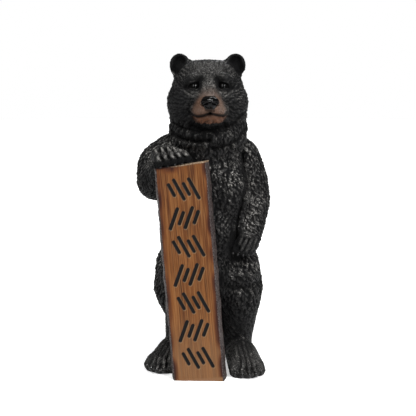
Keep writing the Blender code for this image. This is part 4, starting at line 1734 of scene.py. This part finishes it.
@dataclass
class Bear:
    """The whole figure, fused from its parts, carved and furred."""

    board: Board
    form_voxel: float = 0.0032
    shape_voxel: float = 0.0021
    skin_voxel: float = 0.00136
    form_smoothing: int = 18
    shape_smoothing: int = 9
    skin_smoothing: int = 3
    cuts: tuple[tuple[str, float], ...] = (
        ("legs", 25.0), ("hips", 50.0), ("chest", 75.0), ("head", math.inf)
    )
    shoulder: Line = ((-16.0, 67.0), (-9.5, 71.5), (-4.0, 71.0))
    forearm: Line = ((13.0, 60.0), (15.6, 52.0), (12.4, 45.5))
    # Patches where the grey is raised or lowered to paint light and shade: more on lit parts such as the
    # shoulders, forearm, right cheek, knee and feet, less on the left cheek, the crown, the hanging paw and
    # the outside of the left arm.
    dust_and_light_patches: tuple[tuple[Line, float, float], ...] = (
        (shoulder, 5.0, 2.2),
        (((8.0, 71.5), (13.0, 67.5)), 4.0, 0.7),
        (forearm, 4.6, 2.0),
        (((5.0, 65.0), (8.0, 58.0)), 5.0, 0.8),
        (((-5.0, 95.0), (5.5, 95.0)), 5.0, -0.3),
        (((-9.5, 87.0), (-8.6, 79.6)), 5.0, -0.7),
        (((9.6, 87.0), (9.4, 81.0)), 4.0, 0.9),
        (((4.0, 48.0), (9.5, 44.0)), 3.5, 0.5),
        (((9.0, 31.8), (15.6, 31.2)), 5.0, 1.5),
        (((9.6, 24.0), (14.4, 24.0)), 2.2, 0.7),
        (((9.0, 9.0), (13.0, 4.0)), 6.0, 0.9),
        (((-9.0, 9.0), (-13.0, 4.0)), 6.0, 2.9),
        (((-15.0, 38.0), (-14.4, 33.0)), 4.2, 1.5),
        (((11.6, 42.0), (10.6, 39.0)), 4.0, -0.35),
        (((-18.0, 62.0), (-17.0, 54.0)), 5.0, -0.35),
    )

    def __post_init__(self) -> None:
        """Set out the figure's parts."""
        self.head = Head()
        self.hanging_arm = HangingArm()
        self.paw_arm = PawArm(self.board)
        self.right_leg = Leg(1.0, 10.0, 9.9, 9.8, (10.2, -1.4), 8.0)
        self.left_leg = Leg(-1.0, 9.5, 7.5, 8.9, (-9.4, 1.6), -19.0)
        self.trunk = Trunk()
        self.parts = [self.trunk, self.head, self.hanging_arm, self.paw_arm, self.right_leg, self.left_leg]

    def skin(self) -> Skin:
        """Fuse the masses, add the small forms, carve them and lay the fur.

        Returns:
            The finished skin.
        """
        clay = Clay()
        for part in self.parts:
            part.pile(clay)
        form = clay.fuse(self.form_voxel, self.form_smoothing)
        clay = Clay()
        clay.bm.from_mesh(form)
        for part in self.parts:
            part.shape(clay)
        form = clay.fuse(self.shape_voxel, self.shape_smoothing)
        clay = Clay()
        clay.bm.from_mesh(form)
        for part in self.parts:
            part.detail(clay)
        skin = Skin(clay.fuse(self.skin_voxel, self.skin_smoothing))
        LOG.info("skin fused: %d points", len(skin.points))
        for part in self.parts:
            part.carve(skin)
        skin.write()
        self.fur(skin)
        self.keep_off_board(skin)
        skin.points[:, 2] = np.maximum(skin.points[:, 2], 0.0)
        skin.write()
        return skin

    def keep_off_board(self, skin: Skin) -> None:
        """Press the points that would enter the board out through its nearest face.

        Args:
            skin: The figure's skin.
        """
        board = self.board
        place = board.place()
        turn = np.array(place.to_3x3())
        local = (skin.points - np.array(place.translation)) @ turn
        spare = board.fur_clearance
        half = board.width / 2.0 + board.flare * np.clip(local[:, 1] / board.thickness * 1.4, 0.0, 1.0)
        top = board.length + local[:, 0] * math.tan(board.top_slope)
        to_top = top + spare - local[:, 2]
        to_back = board.thickness + spare - local[:, 1]
        to_front = local[:, 1] + spare
        to_side = half + spare - np.abs(local[:, 0])
        inside = (to_top > 0.0) & (to_back > 0.0) & (to_front > 0.0) & (to_side > 0.0)
        gaps = np.stack([to_top, to_back, to_front * 3.0, to_side])
        nearest = gaps.argmin(axis=0)
        local[:, 2] += np.where(inside & (nearest == 0), to_top, 0.0)
        local[:, 1] += np.where(inside & (nearest == 1), to_back, 0.0)
        local[:, 1] -= np.where(inside & (nearest == 2), to_front, 0.0)
        local[:, 0] += np.where(inside & (nearest == 3), to_side * np.sign(local[:, 0]), 0.0)
        skin.points = local @ turn.T + np.array(place.translation)

    def growth(self, points: np.ndarray) -> np.ndarray:
        """Give the way the fur grows: back from the nose, and down the body and limbs.

        Args:
            points: Places in metres.

        Returns:
            One direction for each place.
        """
        x, y, z = (points / HUNDREDTH).T
        down = np.stack([0.03 * x, -0.02 * np.ones_like(x), -np.ones_like(x)], axis=1)
        away = points / HUNDREDTH - np.array((0.4, -17.5, 85.5))
        away /= np.linalg.norm(away, axis=1)[:, None]
        head = smooth((z - 76.0) / 5.0)[:, None]
        feet = smooth((7.0 - z) / 4.0)[:, None]
        ahead = np.stack([0.1 * np.sign(x), -np.ones_like(x), -0.3 * np.ones_like(x)], axis=1)
        body = down * (1.0 - feet) + ahead * feet
        return body * (1.0 - head) + away * head

    def paws(self, places: np.ndarray) -> np.ndarray:
        """Give 1 on the paws and feet, and 0 elsewhere.

        Args:
            places: Places in hundredths of the height.

        Returns:
            A value for each place.
        """
        seat, palm = self.paw_arm.palm()
        value = smooth((8.5 - places[:, 2]) / 3.0)
        for centre, reach in (((11.0, -12.2, 39.6), 6.4), (tuple(palm + Vector((0.6, -2.4, 0.0))), 6.6)):
            gap = np.linalg.norm(places - np.array(centre), axis=1)
            value = np.maximum(value, smooth((reach - gap) / 1.6))
        return value

    def face(self, places: np.ndarray) -> np.ndarray:
        """Give 1 on the face and crown, and 0 elsewhere.

        Args:
            places: Places in hundredths of the height.

        Returns:
            A value for each place.
        """
        x, y, z = places.T
        front = smooth((z - 78.0) / 3.0) * smooth((-y - 1.0) / 4.0) * smooth((12.5 - np.abs(x)) / 2.5)
        crown = smooth((z - 88.0) / 4.0)
        return np.maximum(front, crown)

    def head_only(self, places: np.ndarray) -> np.ndarray:
        """Give 1 on the head above the ruff, and 0 elsewhere."""
        return smooth((places[:, 2] - 79.0) / 3.0)

    def shins(self, places: np.ndarray) -> np.ndarray:
        """Give 1 on the lower legs, and 0 elsewhere."""
        return smooth((20.0 - places[:, 2]) / 6.0)

    def clumps(self, places: np.ndarray) -> np.ndarray:
        """Give where the broad clumps lie: on the body."""
        return (1.0 - self.paws(places)) * (1.0 - self.head_only(places)) * (1.0 - self.shins(places))

    def tufts(self, places: np.ndarray) -> np.ndarray:
        """Give where the tufts lie: on the body, and less on the shins."""
        return (1.0 - self.paws(places)) * (1.0 - self.face(places)) * (1.0 - 0.45 * self.shins(places))

    def down(self, places: np.ndarray) -> np.ndarray:
        """Give where the short fur lies: on the face and paws, and less on the brow and ears.

        Args:
            places: Places in hundredths of the height.

        Returns:
            A value for each place.
        """
        brow = smooth((places[:, 2] - 86.0) / 4.0) * smooth((9.0 - np.abs(places[:, 0])) / 3.0)
        ears = smooth((places[:, 2] - 94.5) / 2.0) * smooth((np.abs(places[:, 0]) - 5.4) / 1.5)
        furry = self.face(places) * (1.0 - 0.4 * brow) * (1.0 - 0.65 * ears)
        return np.maximum(furry, 0.7 * self.paws(places))

    def fur(self, skin: Skin) -> None:
        """Lay the coats, with painted shade between their tufts, all but bare of fur on the nose and the
        muzzle, and brush them with dust and painted highlight.

        Args:
            skin: The figure's skin.
        """
        growth = self.growth(skin.points)
        places = skin.points / HUNDREDTH
        bare = np.maximum(skin.marks[Mark.GLOSS], smooth(skin.marks[Mark.TAN] * 1.6))
        for coat in (
            Coat(0.012, 0.027, 0.0125, 0.0022, 24.0, 20, self.clumps),
            Coat(0.0046, 0.0118, 0.0052, 0.0029, 42.0, 21, self.tufts, 0.9),
            Coat(0.0040, 0.0115, 0.0038, 0.0019, 26.0, 22, self.down, 0.7, 0.0013, bare),
        ):
            coat.lay(skin, growth)
        skin.marks[Mark.FINE] = 1.0 - 0.85 * bare - 0.35 * self.paws(places)
        self.dust(skin, places, bare)

    def dust(self, skin: Skin, places: np.ndarray, bare: np.ndarray) -> None:
        """Brush dust on the crown, feet, shoulder and forearm, partly as painted highlight, then paint more
        or less of it by patches, as light and shade.

        Args:
            skin: The figure's skin.
            places: Its points before the fur was laid, in hundredths of the height.
            bare: Where there is no fur.
        """
        crown = smooth((places[:, 2] - 84.6) / 3.4) * smooth((6.5 - np.abs(places[:, 0])) / 3.0)
        front = smooth((-places[:, 1] - 3.0) / 4.0)
        skin.add(Mark.DUST_AND_HIGHLIGHT, 0.42 * crown * front * (1.0 - 0.55 * bare))
        # More grey on the feet, shoulder and forearm: dust, and painted highlight on the lit shoulder and
        # forearm.
        worn = smooth((8.5 - places[:, 2]) / 3.5)
        for line in (self.shoulder, self.forearm):
            worn = np.maximum(worn, 0.65 * smooth(1.0 - skin.near(line) / 4.8))
        skin.add(Mark.DUST_AND_HIGHLIGHT, 0.2 * worn)
        # Painted light and shade: the grey raised on lit patches and lowered on shaded ones.
        gain = np.full(len(places), 0.75)
        for line, width, more in self.dust_and_light_patches:
            gain += more * smooth(1.0 - skin.near(line) / width)
        skin.marks[Mark.DUST_AND_HIGHLIGHT] = np.clip(skin.marks[Mark.DUST_AND_HIGHLIGHT] * gain, 0.0, 1.0)

    def split(self, skin: Skin, shift: Vector) -> list[bpy.types.Object]:
        """Part the skin level at a few heights, closing each part inside.

        Args:
            skin: The finished skin.
            shift: From the figure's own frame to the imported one.

        Returns:
            The parts, from the legs up.
        """
        for mark, values in skin.marks.items():
            store(skin.mesh, mark.value, values)
        skin.mesh.transform(Matrix.Translation(shift))
        normals = skin.normals
        own = skin.mesh.attributes.new("own", "INT", "POINT")
        own.data.foreach_set("value", np.arange(len(skin.points), dtype=np.int32))
        items = []
        bottom = -math.inf
        for part, height in self.cuts:
            name = f"bear_{part}"
            top = height * HUNDREDTH
            bm = bmesh.new()
            bm.from_mesh(skin.mesh)
            out = [face for face in bm.faces if not bottom <= face.calc_center_median().z < top]
            bmesh.ops.delete(bm, geom=out, context="FACES")
            rim = [edge for edge in bm.edges if edge.is_boundary]
            bmesh.ops.holes_fill(bm, edges=rim, sides=0)
            bmesh.ops.triangulate(bm, faces=bm.faces[:])
            mesh = bpy.data.meshes.new(name)
            bm.to_mesh(mesh)
            bm.free()
            mesh.shade_smooth()
            kept = np.empty(len(mesh.vertices), dtype=np.int32)
            mesh.attributes["own"].data.foreach_get("value", kept)
            mesh.normals_split_custom_set_from_vertices(normals[kept].tolist())
            mesh.attributes.remove(mesh.attributes["own"])
            items.append(put(name, mesh))
            LOG.info("%s: %d triangles", name, len(mesh.polygons))
            bottom = top
        return items

    def dress(self, items: list[bpy.types.Object]) -> None:
        """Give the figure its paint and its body.

        Args:
            items: The figure's pieces.
        """
        paint = FurPaint().material()
        for item in items:
            item.data.materials.clear()
            item.data.materials.append(paint)
            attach(item, BODY)
            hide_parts("bear")


@dataclass
class Claws:
    """Curved, tapering claws, each from its finger's end to its own tip."""

    name: str
    places: list[tuple[Vector, Vector, float]]
    rings: int = 12
    sides: int = 14
    bend: float = 0.16
    flatness: float = 0.82
    taper: float = 0.25

    def build(self, shift: Vector) -> bpy.types.Object:
        """Model the claws as curved cones with round ends.

        Args:
            shift: From the figure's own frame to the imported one.

        Returns:
            The piece.
        """
        bm = bmesh.new()
        for root, tip, radius in self.places:
            run = tip - root
            side = run.cross(Vector((0.0, 0.0, 1.0))).normalized()
            up = side.cross(run).normalized()
            rows = []
            for ring in range(self.rings):
                part = ring / self.rings
                centre = root + run * part + up * math.sin(part * math.pi) * run.length * self.bend
                size = radius * math.sqrt(1.0 - part * part) * (1.0 - self.taper * part)
                row = []
                for step in range(self.sides):
                    angle = 2.0 * math.pi * step / self.sides
                    out = side * math.cos(angle) * self.flatness + up * math.sin(angle)
                    row.append(bm.verts.new(share(centre + out * size) + shift))
                rows.append(row)
            end = bm.verts.new(share(tip) + shift)
            for low, high in zip(rows, rows[1:]):
                for step in range(self.sides):
                    after = (step + 1) % self.sides
                    bm.faces.new((low[step], low[after], high[after], high[step]))
            for step in range(self.sides):
                bm.faces.new((rows[-1][step], rows[-1][(step + 1) % self.sides], end))
            bm.faces.new(list(reversed(rows[0])))
        bmesh.ops.recalc_face_normals(bm, faces=bm.faces[:])
        return keep(self.name, bm)

    def dress(self, item: bpy.types.Object, paint: bpy.types.Material) -> None:
        """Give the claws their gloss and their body."""
        item.data.materials.append(paint)
        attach(item, BODY)


@dataclass
class Eye:
    """One glossy eyeball with a raised cornea."""

    name: str
    centre: Point
    radius: float
    bulge: float = 0.06

    def build(self, shift: Vector) -> bpy.types.Object:
        """Model the eyeball, its front bulged over the iris.

        Args:
            shift: From the figure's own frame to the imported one.

        Returns:
            The piece.
        """
        bm = bmesh.new()
        bmesh.ops.create_uvsphere(bm, u_segments=48, v_segments=32, radius=1.0)
        for vert in bm.verts:
            facing = max(0.0, -vert.co.y)
            vert.co *= 1.0 + self.bulge * facing ** 10
            vert.co = share(Vector(self.centre) + vert.co * self.radius) + shift
        return keep(self.name, bm)

    def dress(self, item: bpy.types.Object, paint: bpy.types.Material) -> None:
        """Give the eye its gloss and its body."""
        item.data.materials.append(paint)
        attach(item, BODY)


class LampKind(Enum):
    """The kinds of lamp, under Blender's names."""

    SKY = "SUN"
    BOX = "AREA"


@dataclass(frozen=True)
class Lamp:
    """One lamp that faces the figure's chest."""

    name: str
    kind: LampKind
    place: Point
    power: float
    spread: float
    aim: Point = (0.0, 0.0, HEIGHT * 0.55)

    def hang(self) -> None:
        """Hang the lamp. The spread is a sky's angle, or a box's size in metres."""
        data = bpy.data.lights.new(self.name, self.kind.value)
        data.energy = self.power
        if self.kind is LampKind.SKY:
            data.angle = self.spread
        else:
            data.size = self.spread
        item = bpy.data.objects.new(self.name, data)
        bpy.context.scene.collection.objects.link(item)
        item.location = self.place
        way = Vector(self.aim) - Vector(self.place)
        item.rotation_euler = way.to_track_quat("-Z", "Y").to_euler()


@dataclass
class Studio:
    """A pale floor, soft lights and the camera."""

    eye: Point = (0.0008, -1.42, 0.56)
    pitch: float = math.radians(10.1)
    focal_pixels: float = 723.0
    image: float = 416.0
    film: float = 36.0
    lamps: tuple[Lamp, ...] = (
        Lamp("sky_left", LampKind.SKY, (-0.9, -1.2, 2.7), 1.2, math.radians(12.0)),
        Lamp("sky_right", LampKind.SKY, (1.1, -1.1, 2.5), 1.9, math.radians(12.0)),
        Lamp("sky_back", LampKind.SKY, (0.4, 2.0, 2.2), 0.7, math.radians(12.0)),
        Lamp("box_left", LampKind.BOX, (-0.9, -1.5, 1.45), 5.0, 0.25),
        Lamp("box_right", LampKind.BOX, (1.0, -1.5, 1.35), 13.0, 0.25),
    )
    ambient: float = 0.1
    ground: float = 1.0
    floor_radius: float = 9.0
    floor_sides: int = 96
    floor_white: float = 0.86
    floor_roughness: float = 0.9
    floor_glow: float = 0.52

    def camera(self, shift: Vector) -> None:
        """Set the camera at the photograph's viewing angle.

        Args:
            shift: From the figure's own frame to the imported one.
        """
        data = bpy.data.cameras.new("camera")
        data.sensor_width = self.film
        data.lens = self.focal_pixels / self.image * self.film
        item = bpy.data.objects.new("camera", data)
        bpy.context.scene.collection.objects.link(item)
        item.location = Vector(self.eye) + shift
        item.rotation_euler = (math.pi / 2.0 - self.pitch, 0.0, 0.0)
        bpy.context.scene.camera = item

    def lights(self) -> None:
        """Light the figure softly from both sides of the front and a little from behind."""
        for lamp in self.lamps:
            lamp.hang()
        world = bpy.data.worlds.new("studio")
        world.use_nodes = True
        tree = world.node_tree
        shade = tree.nodes["Background"]
        shade.inputs["Color"].default_value = (1.0, 1.0, 1.0, 1.0)
        seen = tree.nodes.new("ShaderNodeLightPath").outputs["Is Camera Ray"]
        level = tree.nodes.new("ShaderNodeMapRange")
        tree.links.new(seen, level.inputs["Value"])
        level.inputs["To Min"].default_value = self.ambient
        level.inputs["To Max"].default_value = self.ground
        tree.links.new(level.outputs["Result"], shade.inputs["Strength"])
        bpy.context.scene.world = world
        bpy.context.scene.view_settings.view_transform = "Standard"

    def floor(self) -> None:
        """Lay the pale floor."""
        bm = bmesh.new()
        bmesh.ops.create_circle(bm, cap_ends=True, segments=self.floor_sides, radius=self.floor_radius)
        mesh = bpy.data.meshes.new("floor")
        bm.to_mesh(mesh)
        bm.free()
        item = put("floor", mesh)
        nodes = Nodes("pale_floor")
        seen = nodes.add("ShaderNodeLightPath").outputs["Is Camera Ray"]
        nodes.set(
            Base_Color=(self.floor_white, self.floor_white, self.floor_white, 1.0),
            Roughness=self.floor_roughness,
            Emission_Color=(1.0, 1.0, 1.0, 1.0),
            Emission_Strength=nodes.between(seen, 0.0, self.floor_glow),
        )
        mesh.materials.append(nodes.material)


def figure_shift(board: Board) -> Vector:
    """Give the way from the figure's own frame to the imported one, read from the board's box.

    Args:
        board: The sign board.

    Returns:
        The shift.
    """
    low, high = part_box("sign_board")
    place = board.place()
    corners = []
    for x, y in board.outline():
        for along in (board.foot(x, y), board.top(x)):
            corners.append(place @ Vector((x, y, along)))
    own_low = Vector([min(corner[axis] for corner in corners) for axis in range(3)])
    own_high = Vector([max(corner[axis] for corner in corners) for axis in range(3)])
    middle = (low + high - own_low - own_high) / 2.0
    return Vector((middle.x, low.y - own_low.y, 0.0))


def main() -> None:
    """Build the board, the bear, its claws and eyes, and the studio."""
    board = Board()
    shift = figure_shift(board)
    LOG.info("shift %s", tuple(round(part, 5) for part in shift))
    plank = board.build(shift)
    board.dress(plank)
    LOG.info("sign board: %d faces", len(plank.data.polygons))
    bear = Bear(board)
    skin = bear.skin()
    bear.dress(bear.split(skin, shift))
    horn = CLAW_GLOSS.material()
    for name, limb in (
        ("claws_right_foot", bear.right_leg),
        ("claws_left_foot", bear.left_leg),
        ("claws_hanging_paw", bear.hanging_arm),
        ("claws_board_paw", bear.paw_arm),
    ):
        claws = Claws(name, limb.claws)
        claws.dress(claws.build(shift), horn)
        LOG.info("%s: %d claws", name, len(limb.claws))
    glass = EYE_GLOSS.material()
    for name, side in (("eye_left", -1.0), ("eye_right", 1.0)):
        eye = Eye(name, bear.head.eye(side), bear.head.eye_radius)
        eye.dress(eye.build(shift), glass)
        LOG.info("%s placed", name)
    studio = Studio()
    studio.floor()
    studio.lights()
    studio.camera(shift)


if __name__ == "__main__":
    logging.basicConfig(level=logging.INFO, format="%(message)s")
    main()
